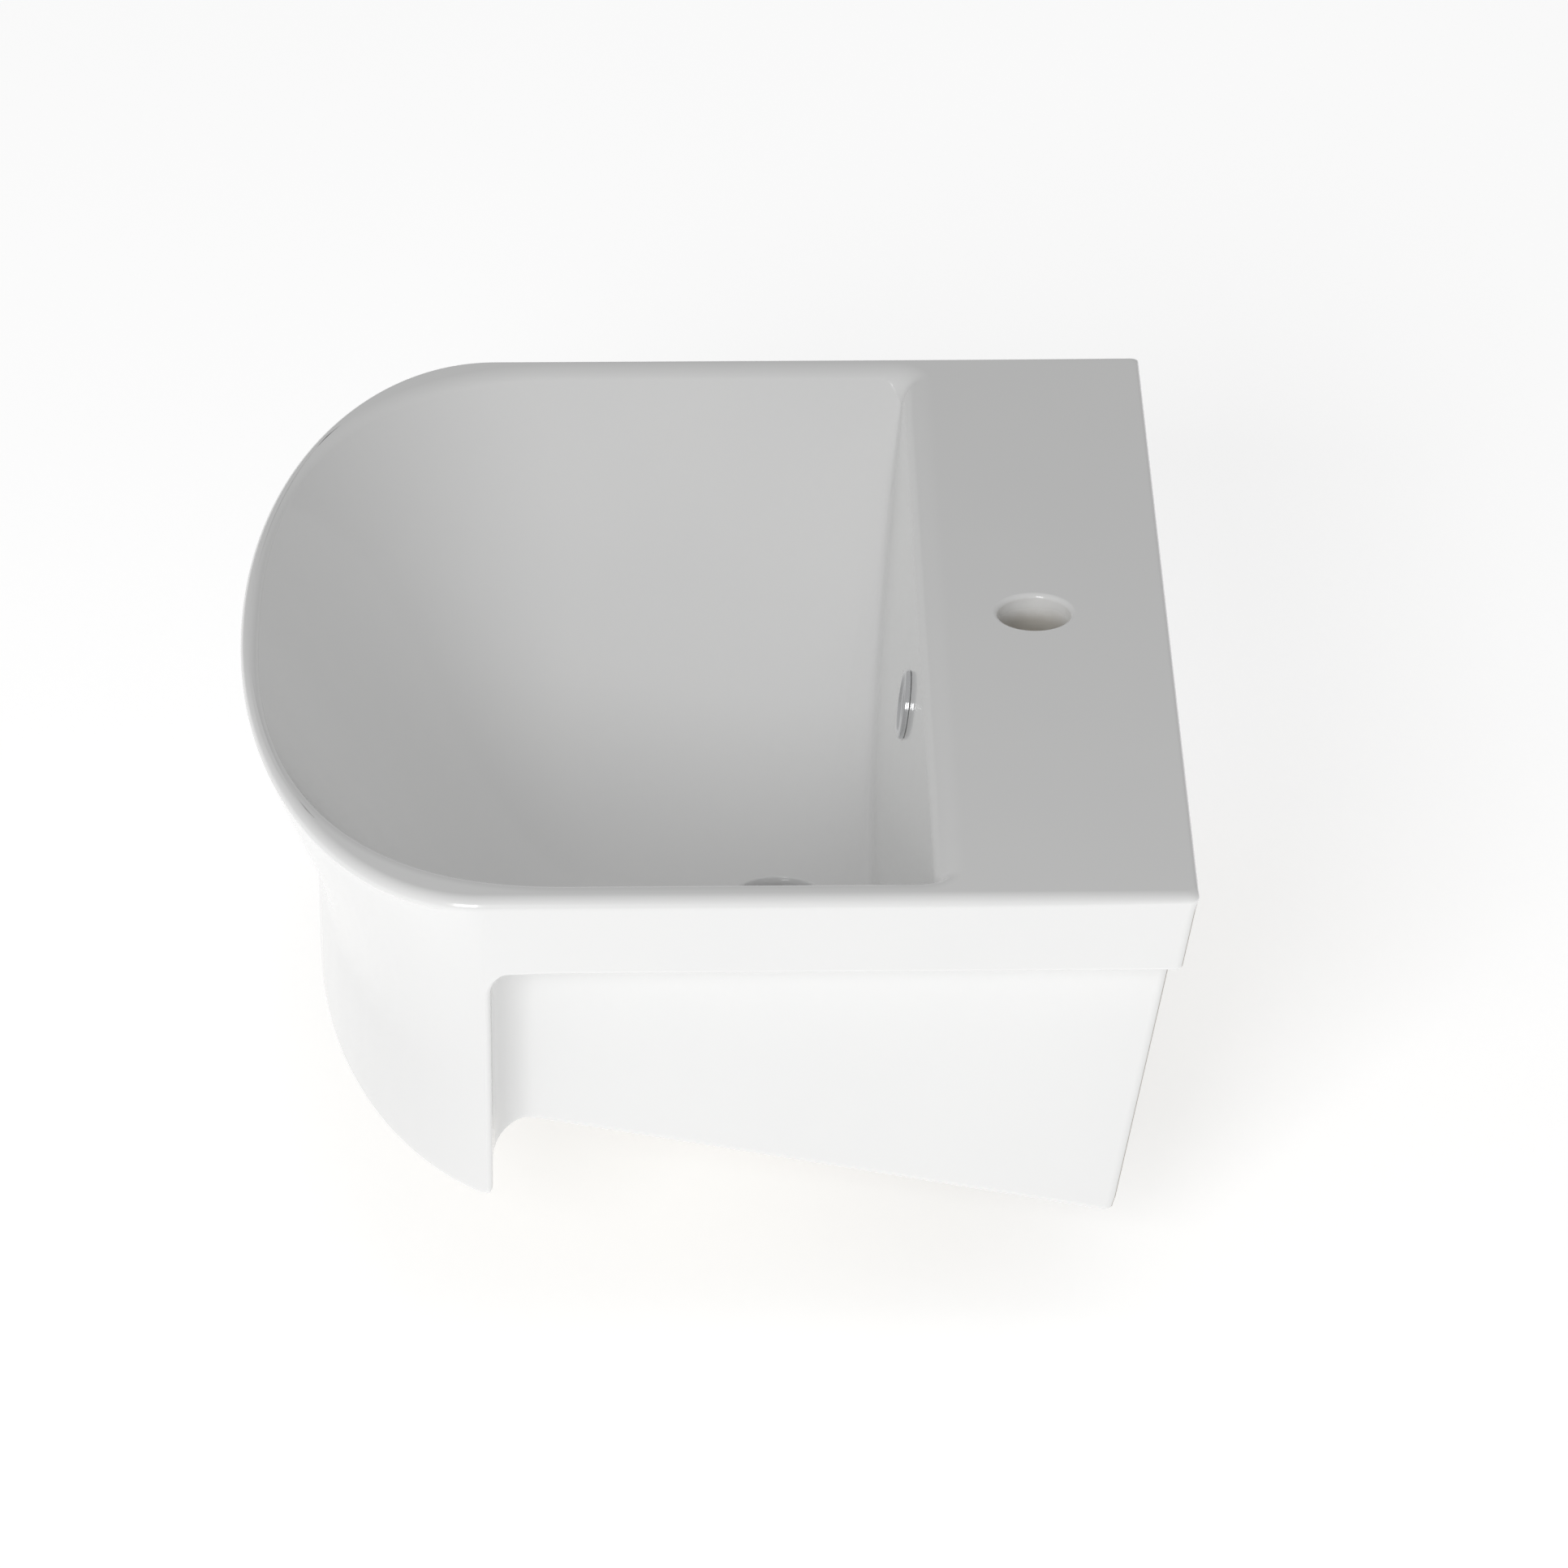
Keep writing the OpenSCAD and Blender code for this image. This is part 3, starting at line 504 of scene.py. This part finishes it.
def make_piece(name, points_mm, quads, caps=(), sharp_degrees=35):
    """A smooth-shaded mesh object at the origin, with its place in its mesh.
    Edges whose faces meet at more than the angle stay sharp."""
    if len(caps) == 0 and signed_volume(points_mm, quads) < 0:
        quads = quads[:, ::-1]
    mesh = bpy.data.meshes.new(name)
    mesh.from_pydata((points_mm * MM).tolist(), [], quads.tolist() + [list(cap) for cap in caps])
    mesh.validate()
    mesh.shade_smooth()
    mesh.set_sharp_from_angle(angle=math.radians(sharp_degrees))
    piece = bpy.data.objects.new(name, mesh)
    bpy.context.scene.collection.objects.link(piece)
    return piece


def revolved(profile, steps, centre=(0, 0, 0), turned=np.eye(3), closed=True):
    """Points and quads of a profile of [radius, height].
    Each point is (r cos q, r sin q, h), turned and moved to its place."""
    r, h = np.array(profile, float).T[:, :, None]
    q = 2 * np.pi * np.arange(steps)[None, :] / steps
    points = np.stack([r * np.cos(q), r * np.sin(q), h + 0 * q], -1).reshape(-1, 3)
    return points @ np.array(turned).T + np.array(centre), grid_faces(len(profile), steps, closed, True)


full_grid = np.concatenate([half_grid, half_grid[:, -2:0:-1] * np.array([-1, 1, 1])], 1)
full_grid[..., 2] = RIM_H - full_grid[..., 2]
body_points = full_grid.reshape(-1, 3)
body_quads = grid_faces(full_grid.shape[0], full_grid.shape[1], True, True)
litres = abs(signed_volume(body_points, body_quads)) / 6e6
print(f"casting skin: {len(body_quads)} quads, {litres:.2f} litres of ceramic")


# %% [markdown]
# ## Holes in the casting
# The drain's well is part of the rings. The tap hole and the overflow are cut while the clay is soft,
# and their edges are wiped round. Here a boolean cuts them: the cutter of a hole that shows is a turned
# profile whose end flares into the edge's radius, so the cut leaves a rounded mouth. The duct that
# carries water from the overflow to the drain is made of straight rods, joined and then bored. The
# manifold solver needs closed meshes, so each rod ends in two flat polygons. A "glaze" value is stored
# on every point too: 1 where the casting is dipped, and 0 where raw clay stays, inside and behind.

# %% Cut the holes
WALL_TILT = math.atan(WALL_LEAN)
OVERFLOW_DEPTH = 49.7
overflow_at = (0, INNER_BACK - WALL_LEAN * (OVERFLOW_DEPTH - WALL_START), RIM_H - OVERFLOW_DEPTH)
ct, st = math.cos(WALL_TILT), math.sin(WALL_TILT)
to_wall = [[1, 0, 0], [0, st, -ct], [0, ct, st]]
up_wall = [[1, 0, 0], [0, ct, st], [0, -st, ct]]
to_back = [[1, 0, 0], [0, 0, 1], [0, -1, 0]]


def plain_rod(r, z0, z1):
    """Side of a straight rod, as [radius, height] from its lower end to its upper one."""
    return [[r, z0], [r, z1]]


def flared_rod(r, z0, z_top, mouth):
    """Side of a rod that flares to r + mouth at z_top by a quarter circle, and runs on a little above."""
    q = np.radians([0, 12, 24, 36, 48, 60, 72, 82])
    arc = np.stack([r + mouth * (1 - np.cos(q)), z_top - mouth * (1 - np.sin(q))], 1).tolist()
    return [[r, z0]] + arc + [[r + mouth + 0.3, z_top + 0.05], [r + mouth + 0.3, z_top + 6]]


def boolean(target, profile, steps, centre, operation, turned=np.eye(3)):
    """Cuts or joins a rod whose two ends are flat polygons, and applies the modifier at once."""
    points, quads = revolved(profile, steps, centre, turned, closed=False)
    ends = [range(steps - 1, -1, -1), range(len(points) - steps, len(points))]
    tool = make_piece("tool", points, quads, ends)
    modifier = target.modifiers.new("cut", "BOOLEAN")
    modifier.operation, modifier.solver, modifier.object = operation, "MANIFOLD", tool
    bpy.context.view_layer.objects.active = target
    bpy.ops.object.modifier_apply(modifier=modifier.name)
    bpy.data.objects.remove(tool)


basin = make_piece("glazed_casting", body_points, body_quads)
glaze_rows = np.zeros((len(rings), full_grid.shape[1]))
glaze_rows[seat_row:foot_row] = 1
GLAZED_EDGE, BEHIND_Y = 7, -40
full_back = np.concatenate([back_share, back_share[-2:0:-1]])
dipped = full_grid[seat_row:foot_row]
at_back = (dipped[..., 2] < RIM_H - GLAZED_EDGE) & (full_back > 0.9) & (dipped[..., 1] > BEHIND_Y)
glaze_rows[seat_row:foot_row][at_back] = 0
basin.data.attributes.new("glaze", "FLOAT", "POINT").data.foreach_set("value", glaze_rows.ravel())

DUCT_OUT, DUCT_R, DUCT_BORE, DUCT_TOP, BORE_TOP, DUCT_TAIL = 20, 15, 9.5, 30, 14, 8
FOOT_DEPTH, FOOT_R, FOOT_BORE = 173.5, 13.5, 6
OVERFLOW_R, OVERFLOW_CUT, OVERFLOW_MOUTH = 12.5, 22, 1.2
TAP_CUT, TAP_MOUTH, TAP_REACH = 24, 2.4, 2.6
FADE_FROM, FADE_LOW, FADE_RUN = 20, 19, 14
duct_l = (FOOT_DEPTH - OVERFLOW_DEPTH) / ct
duct_at = np.array(overflow_at) + DUCT_OUT * np.array([0, ct, -st])
duct_foot_y = overflow_at[1] - WALL_LEAN * (FOOT_DEPTH - OVERFLOW_DEPTH) + DUCT_OUT * ct
foot_run = duct_foot_y - DRAIN_Y
drain_at = (0, DRAIN_Y, RIM_H - FOOT_DEPTH)
boolean(basin, plain_rod(DUCT_R, -duct_l - DUCT_TAIL, DUCT_TOP), 64, duct_at, "UNION", up_wall)
boolean(basin, plain_rod(FOOT_R, NECK_R + 2, foot_run), 64, drain_at, "UNION", to_back)
boolean(basin, plain_rod(DUCT_BORE, -duct_l, BORE_TOP), 64, duct_at, "DIFFERENCE", up_wall)
boolean(basin, plain_rod(FOOT_BORE, 0, foot_run), 48, drain_at, "DIFFERENCE", to_back)
overflow_rod = flared_rod(OVERFLOW_R, -OVERFLOW_CUT, 0, OVERFLOW_MOUTH)
tap_rod = flared_rod(TAP_R, RIM_H - TAP_CUT, RIM_H, TAP_MOUTH)
boolean(basin, overflow_rod, 96, overflow_at, "DIFFERENCE", to_wall)
boolean(basin, tap_rod, 128, (0, TAP_Y, 0), "DIFFERENCE")
places = np.empty(3 * len(basin.data.vertices))
basin.data.vertices.foreach_get("co", places)
x, y, z = places.reshape(-1, 3).T / MM
in_tap_hole = np.hypot(x, y - TAP_Y) < TAP_R + TAP_REACH
glaze = np.empty(len(basin.data.vertices))
basin.data.attributes["glaze"].data.foreach_get("value", glaze)
# Down the tap hole the glaze fades out, so its lower wall takes the clay colour that is painted darker as
# shade.
fading = np.clip((z - RIM_H + FADE_LOW) / FADE_RUN, 0, 1)
glaze = np.where(in_tap_hole & (z > RIM_H - FADE_FROM), fading, glaze)
basin.data.attributes["glaze"].data.foreach_set("value", glaze)
basin.data.shade_smooth()
basin.data.set_sharp_from_angle(angle=math.radians(35))
weighted = basin.modifiers.new("even_shading", "WEIGHTED_NORMAL")
weighted.keep_sharp = True
print(f"casting after the cuts: {len(basin.data.polygons)} faces")
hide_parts("basin_body")
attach(basin, "basin")


# %% [markdown]
# ## Overflow ring and plug cap
# The ring is pressed from thin tube: a sleeve goes into the hole and its mouth is rolled over into a
# slim bead that covers the edge of the ceramic. The cap of the waste is a spun dome with a rolled rim
# and a lug underneath that screws on the rod. Both were turned, so both are drawn as one profile
# that is turned round its axis. Straight cylinders and tori would leave creases where they meet.

# %% Turned chrome pieces
def rounded(r, h, radius, start, stop, n):
    """Arc of a profile round (r, h): (r + radius cos a, h + radius sin a), with a in degrees."""
    a = np.radians(np.linspace(start, stop, n))
    return np.stack([r + radius * np.cos(a), h + radius * np.sin(a)], 1).tolist()


def turned_piece(name, node_name, body, profile, steps, centre, turned=np.eye(3), ends=False):
    """A chrome piece from a profile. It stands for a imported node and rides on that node's body."""
    points, quads = revolved(profile, steps, centre, turned, closed=not ends)
    caps = [range(steps - 1, -1, -1), range(len(points) - steps, len(points))] if ends else ()
    piece = make_piece(name, points, quads, caps, 40)
    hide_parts(node_name)
    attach(piece, body)
    print(f"{name}: {len(quads)} quads")
    return piece


RING_R, TUBE_R, TUBE_BORE, TUBE_END, BEAD_R = 16.75, 11.2, 10.2, -11.8, 1.35
ROLL_R, ROLL_LOW, HEM_R, HUG_R = 3.6, 2.2, 0.4, 0.5
roll = rounded(TUBE_BORE + ROLL_R, -ROLL_LOW, ROLL_R, 180, 100, 14)
bead = rounded(RING_R - BEAD_R, 1.55, BEAD_R, 150, 0, 22)
hem = rounded(RING_R - HEM_R, 0.65, HEM_R, 0, -90, 5)
hug = rounded(TUBE_R + HUG_R, -0.25, HUG_R, 90, 180, 5)
ring_profile = ([[TUBE_BORE, TUBE_END]] + roll + bead + hem + [[TUBE_R + HUG_R, 0.25]] + hug
                + [[TUBE_R, TUBE_END]])
overflow = turned_piece("rolled_ring", "overflow_ring", "basin", ring_profile[::-1], 144,
                        overflow_at, to_wall)

CAP_R, CAP_TOP, CAP_LOW = 19, cap_high[2], SEAT_Z + 5
LUG_R, LUG_LOW, ROD_R, ROD_TOP = 7, cap_low[2], 3, SEAT_Z + 4.6
CAP_EDGE, POLE_R, DOME_LIFT, DOME_POWER = 0.5, 0.4, 0.9, 2.6
dome_r = np.linspace(CAP_R - 0.55, POLE_R, 26)
dome_h = CAP_LOW + DOME_LIFT + (CAP_TOP - CAP_LOW - DOME_LIFT) * (1 - (dome_r / CAP_R) ** DOME_POWER)
rod_hole = [[POLE_R, ROD_TOP], [ROD_R, ROD_TOP], [ROD_R, LUG_LOW + 0.4], [ROD_R + 0.4, LUG_LOW]]
lug = rounded(LUG_R - CAP_EDGE, LUG_LOW + CAP_EDGE, CAP_EDGE, -90, 0, 5) + [[LUG_R, CAP_LOW]]
cap_rim = rounded(CAP_R - CAP_EDGE, CAP_LOW + CAP_EDGE, CAP_EDGE, -80, 75, 12)
dome = np.stack([dome_r, dome_h], 1).tolist()
cap_profile = rod_hole + lug + [[CAP_R - CAP_EDGE, CAP_LOW]] + cap_rim + dome
cap = turned_piece("spun_cap", "plug_cap", "plug", cap_profile, 144, (0, DRAIN_Y, 0), ends=True)


# %% [markdown]
# ## Writing shader maths as Python
# A material is a graph of nodes, and long graphs are hard to read as links. A small class wraps a
# socket and gives it the usual operators, so that roughness = 0.2 + 0.1 * noise adds its own nodes.

# %% Socket wrapper
class Value:
    """A number that varies over a surface: a socket in a material's node tree."""

    def __init__(self, tree, socket):
        self.tree, self.socket = tree, socket

    def maths(self, operation, a, b):
        """One Math node on two numbers or values."""
        return node(self.tree, "ShaderNodeMath", {"operation": operation}, {0: a, 1: b})

    def __add__(self, other):
        return self.maths("ADD", self, other)

    __radd__ = __add__

    def __sub__(self, other):
        return self.maths("SUBTRACT", self, other)

    def __rsub__(self, other):
        return self.maths("SUBTRACT", other, self)

    def __mul__(self, other):
        return self.maths("MULTIPLY", self, other)

    __rmul__ = __mul__

    def __pow__(self, other):
        return self.maths("POWER", self, other)

    def step(self, low, high):
        """0 below low, 1 above high and smooth between."""
        return node(self.tree, "ShaderNodeMapRange", {"interpolation_type": "SMOOTHSTEP"},
                    {"Value": self, "From Min": low, "From Max": high})

    def sine(self):
        """Sine of the value, in radians."""
        return self.maths("SINE", self, 0)


def node(tree, kind, settings=None, inputs=None, output=0):
    """Adds one node: its settings first, then the value or the link of each socket. Returns an output."""
    made = tree.nodes.new(kind)
    for name, value in (settings or {}).items():
        setattr(made, name, value)
    for name, value in (inputs or {}).items():
        if isinstance(value, Value):
            tree.links.new(value.socket, made.inputs[name])
        else:
            made.inputs[name].default_value = value
    return Value(tree, made.outputs[output])


class Finish:
    """A material with a Principled shader, and the parts that its recipes share."""

    def __init__(self, name, **constants):
        self.material = bpy.data.materials.new(name)
        self.material.use_nodes = True
        self.tree = self.material.node_tree
        self.shader = next(n for n in self.tree.nodes if n.type == "BSDF_PRINCIPLED")
        for socket, value in constants.items():
            self.shader.inputs[socket.replace("_", " ")].default_value = value
        self.place = node(self.tree, "ShaderNodeTexCoord", output="Object")

    def node(self, kind, settings=None, inputs=None, output=0):
        """One node in this material's tree."""
        return node(self.tree, kind, settings, inputs, output)

    def centred(self, x, y, z):
        """Object coordinates counted from a point, in metres, by a Mapping node."""
        return self.node("ShaderNodeMapping", None, {"Vector": self.place, "Location": (-x, -y, -z)})

    def noise(self, size_mm, detail=3.0, rough=0.5):
        """Noise from 0 to 1, whose lumps are about size_mm across."""
        return self.node("ShaderNodeTexNoise", {"noise_dimensions": "3D"},
                         {"Vector": self.place, "Scale": 1 / (size_mm * MM), "Detail": detail,
                          "Roughness": rough})

    def blend(self, factor, a, b):
        """Colour a where the factor is 0 and b where it is 1."""
        return self.node("ShaderNodeMix", {"data_type": "RGBA"}, {0: factor, 6: a, 7: b}, 2)

    def parts(self, vector):
        """The X, Y and Z of a vector."""
        split = self.node("ShaderNodeSeparateXYZ", None, {0: vector}).socket.node
        return [Value(self.tree, output) for output in split.outputs]

    def bump(self, height, depth_mm, under=None):
        """Bump by a height from 0 to 1 that stands for depth_mm."""
        inputs = {"Height": height, "Distance": depth_mm * MM, "Strength": 1.0}
        if under is not None:
            inputs["Normal"] = under
        return self.node("ShaderNodeBump", None, inputs)

    def feed(self, **sockets):
        """Links varying values to the shader's sockets, and returns the material."""
        for socket, value in sockets.items():
            self.tree.links.new(value.socket, self.shader.inputs[socket.replace("_", " ")])
        return self.material


# %% [markdown]
# ## The glaze
# Vitreous china is a white clay under a glassy glaze. The glaze is a coat of its own, a little wavy
# where it ran before it set, and finely pitted. Where it was never dipped or was wiped off, on the back
# face and inside the hollow, the fired clay is matt, creamier and grainy. Its colour is also painted
# darker than fired clay is: painted shade for the hollow, which a worktop would shade, and that dark
# shows on the back face and low in the tap hole too. A height or a box could say where the raw clay is,
# but both cut straight across a curved casting. The "glaze" value that the points carry follows its
# rings, and a little noise added to it makes the edge of the glaze uneven.

# %% Glazed ceramic
def glazed_china():
    """White glaze with slow waves and fine pits, and unglazed biscuit painted darker as shade where the glaze
    value is low.
    Share of glaze = smooth step of (glaze value + 0.2 noise) from 0.35 to 0.95."""
    f = Finish("glaze_white", IOR=1.5, Coat_Roughness=0.045, Coat_IOR=1.52)
    glaze = f.node("ShaderNodeAttribute", {"attribute_name": "glaze"}, output="Fac")
    edge = f.noise(7, 2.0) * 0.2
    glazed = (glaze + edge).step(0.35, 0.95)
    clouds = f.noise(90, 2.0)
    pits = f.noise(0.9, 2.0)
    grain = f.noise(0.35, 4.0, 0.7)
    white = f.blend(clouds, (0.840, 0.842, 0.840, 1), (0.868, 0.868, 0.862, 1))
    # The raw clay colour, painted darker than fired clay is, as painted shade for the hollow and the tap
    # hole.
    clay_with_painted_shade = f.blend(grain, (0.52, 0.50, 0.46, 1), (0.62, 0.60, 0.56, 1))
    waves = f.bump(f.noise(16, 1.0), 0.022)
    fine = f.bump(pits * (0.25 + 0.75 * glazed) + grain * (1 - glazed) * 4, 0.004, waves)
    rough = 0.78 - 0.60 * glazed + 0.05 * clouds
    return f.feed(Base_Color=f.blend(glazed, clay_with_painted_shade, white), Roughness=rough,
                  Coat_Weight=0.55 * glazed, Normal=fine)


# %% [markdown]
# ## Metals, rubber and plastic
# Chrome is a mirror with faint smears from wiping, and it is a little wavy from polishing. Turned brass
# and steel keep the fine rings of the lathe round the drain's axis, so their height is a sine of the
# radius. Rubber is matt and dusty, and moulded plastic has a spark-eroded grain.

# %% Small finishes
def chrome():
    """Bright plate: slow smears in the roughness, and the faint waves of polishing in the bump."""
    f = Finish("chrome_bright", Metallic=1.0)
    smear = f.noise(14, 4.0, 0.6)
    dents = f.noise(5, 1.0)
    tint = f.blend(smear, (0.77, 0.78, 0.80, 1), (0.86, 0.865, 0.87, 1))
    return f.feed(Base_Color=tint, Roughness=0.055 + 0.10 * smear.step(0.35, 0.75),
                  Normal=f.bump(dents, 0.004))


def turned_metal(name, dark, light, rough, pitch_mm):
    """Lathe rings round the drain's axis.
    Height = half the sine of (radius + z) times 2 pi over the feed of the tool, plus a half."""
    f = Finish(name, Metallic=1.0)
    x, y, z = f.parts(f.centred(0, DRAIN_Y * MM, 0))
    radius = (x * x + y * y) ** 0.5
    turns_per_metre = 2 * math.pi / (pitch_mm * MM)
    groove = ((radius + z) * turns_per_metre).sine() * 0.5 + 0.5
    stain = f.noise(9, 5.0, 0.65)
    tone = f.blend(stain, dark, light)
    return f.feed(Base_Color=tone, Roughness=rough + 0.16 * stain + 0.05 * groove,
                  Normal=f.bump(groove + 0.6 * f.noise(0.6, 3.0), 0.008))


def rubber():
    """Black rubber with a fine skin and a little pale bloom."""
    f = Finish("rubber_black", Specular_IOR_Level=0.35)
    bloom = f.noise(6, 5.0, 0.7)
    skin = f.noise(0.5, 3.0)
    return f.feed(Base_Color=f.blend(bloom, (0.018, 0.018, 0.019, 1), (0.055, 0.055, 0.053, 1)),
                  Roughness=0.62 + 0.25 * bloom, Normal=f.bump(skin, 0.02))


def moulded_plastic():
    """White plastic: spark-eroded grain and a faint yellowing in patches."""
    f = Finish("plastic_white", Specular_IOR_Level=0.45)
    patch = f.noise(11, 3.0)
    grain = f.noise(0.45, 2.0, 0.6)
    return f.feed(Base_Color=f.blend(patch, (0.80, 0.79, 0.75, 1), (0.88, 0.88, 0.86, 1)),
                  Roughness=0.36 + 0.16 * grain, Normal=f.bump(grain, 0.012))


finishes = {
    "vitreous_china": glazed_china(), "chrome_plate": chrome(), "black_rubber": rubber(),
    "white_plastic": moulded_plastic(),
    "cast_brass": turned_metal("brass_turned", (0.58, 0.42, 0.18, 1), (0.80, 0.63, 0.31, 1), 0.24, 0.32),
    "stainless": turned_metal("steel_turned", (0.48, 0.48, 0.49, 1), (0.66, 0.66, 0.68, 1), 0.22, 0.22)}
for part in frame["record"]["subparts"]:
    for place_in_list in frame["nodes"][part["node"]].material_slots:
        place_in_list.material = finishes[part["material_slot"]]
for piece, slot in ((basin, "vitreous_china"), (overflow, "chrome_plate"), (cap, "chrome_plate")):
    piece.data.materials.clear()
    piece.data.materials.append(finishes[slot])
print("finishes:", sorted(finishes))


# %% [markdown]
# ## Floor and light
# The basin hangs where a worktop would hold it, so a pale floor lies just under the end of its waste.
# White glaze shows its shape only by soft differences of grey. Many lamps would flatten those, so one
# soft box stands on the camera's side and an even sky fills the rest. The floor glows a little, so that
# it stays close to white where little light reaches it.

# %% Stage
FLOOR_HALF, FLOOR_GAP = 9, 0.002
floor_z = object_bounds()[0][2] - FLOOR_GAP
corners = [(x * FLOOR_HALF, y * FLOOR_HALF, floor_z) for x, y in ((-1, -1), (1, -1), (1, 1), (-1, 1))]
floor = bpy.data.meshes.new("pale_floor")
floor.from_pydata(corners, [], [(0, 1, 2, 3)])
stage = bpy.data.objects.new("pale_floor", floor)
bpy.context.scene.collection.objects.link(stage)
paint = Finish("floor_paint", Roughness=0.9, Specular_IOR_Level=0.1,
               Emission_Color=(1, 1, 1, 1), Emission_Strength=0.50)
pale = paint.blend(paint.noise(400), (0.90, 0.90, 0.90, 1), (0.92, 0.92, 0.92, 1))
floor.materials.append(paint.feed(Base_Color=pale))


def soft_light(name, position, target, size, power):
    """A square area light that faces its target."""
    data = bpy.data.lights.new(name, "AREA")
    data.size, data.energy = size, power
    light = bpy.data.objects.new(name, data)
    light.location = position
    light.rotation_euler = (Vector(target) - Vector(position)).to_track_quat("-Z", "Y").to_euler()
    bpy.context.scene.collection.objects.link(light)
    print(f"{name}: {size} m, {power} W")


soft_light("camera_side_box", (4.2, -1.5, 2.0), (0, -0.2, 0), 1.5, 74)
world = bpy.data.worlds.new("soft_sky")
world.use_nodes = True
sky = next(n for n in world.node_tree.nodes if n.type == "BACKGROUND")
sky.inputs["Color"].default_value = (1, 1, 1, 1)
sky.inputs["Strength"].default_value = 0.42
bpy.context.scene.world = world
bpy.context.scene.view_settings.view_transform = "Standard"


# %% [markdown]
# ## Camera
# A maker judges a basin's curves without the bulge that a near camera gives them, so the camera stands
# far off with a long lens. It looks along the wall from the basin's right, tipped down far enough to
# see into the bowl. Its place is worked out from the point that it looks at, its angles and a distance.

# %% Camera
PITCH, SWING, ROLL = (math.radians(a) for a in (28.88, 1.097, 0.182))
DISTANCE = 4.50687
SENSOR, LENS, FAR_END = 36, 215.67, 30
aim = Vector((0, -0.18204, -0.05415))
forward = Vector((-math.cos(PITCH) * math.cos(SWING), math.cos(PITCH) * math.sin(SWING), -math.sin(PITCH)))
right = forward.cross(Vector((0, 0, 1))).normalized()
up = right.cross(forward)
right, up = right * math.cos(ROLL) + up * math.sin(ROLL), up * math.cos(ROLL) - right * math.sin(ROLL)
camera_data = bpy.data.cameras.new("camera")
camera_data.sensor_width = SENSOR
camera_data.lens = LENS
camera_data.clip_end = FAR_END
camera = bpy.data.objects.new("camera", camera_data)
facing = Matrix((right, up, -forward)).transposed().to_4x4()
camera.matrix_world = Matrix.Translation(aim - forward * DISTANCE) @ facing
bpy.context.scene.collection.objects.link(camera)
bpy.context.scene.camera = camera
print(f"camera at {tuple(round(v, 3) for v in camera.location)}")
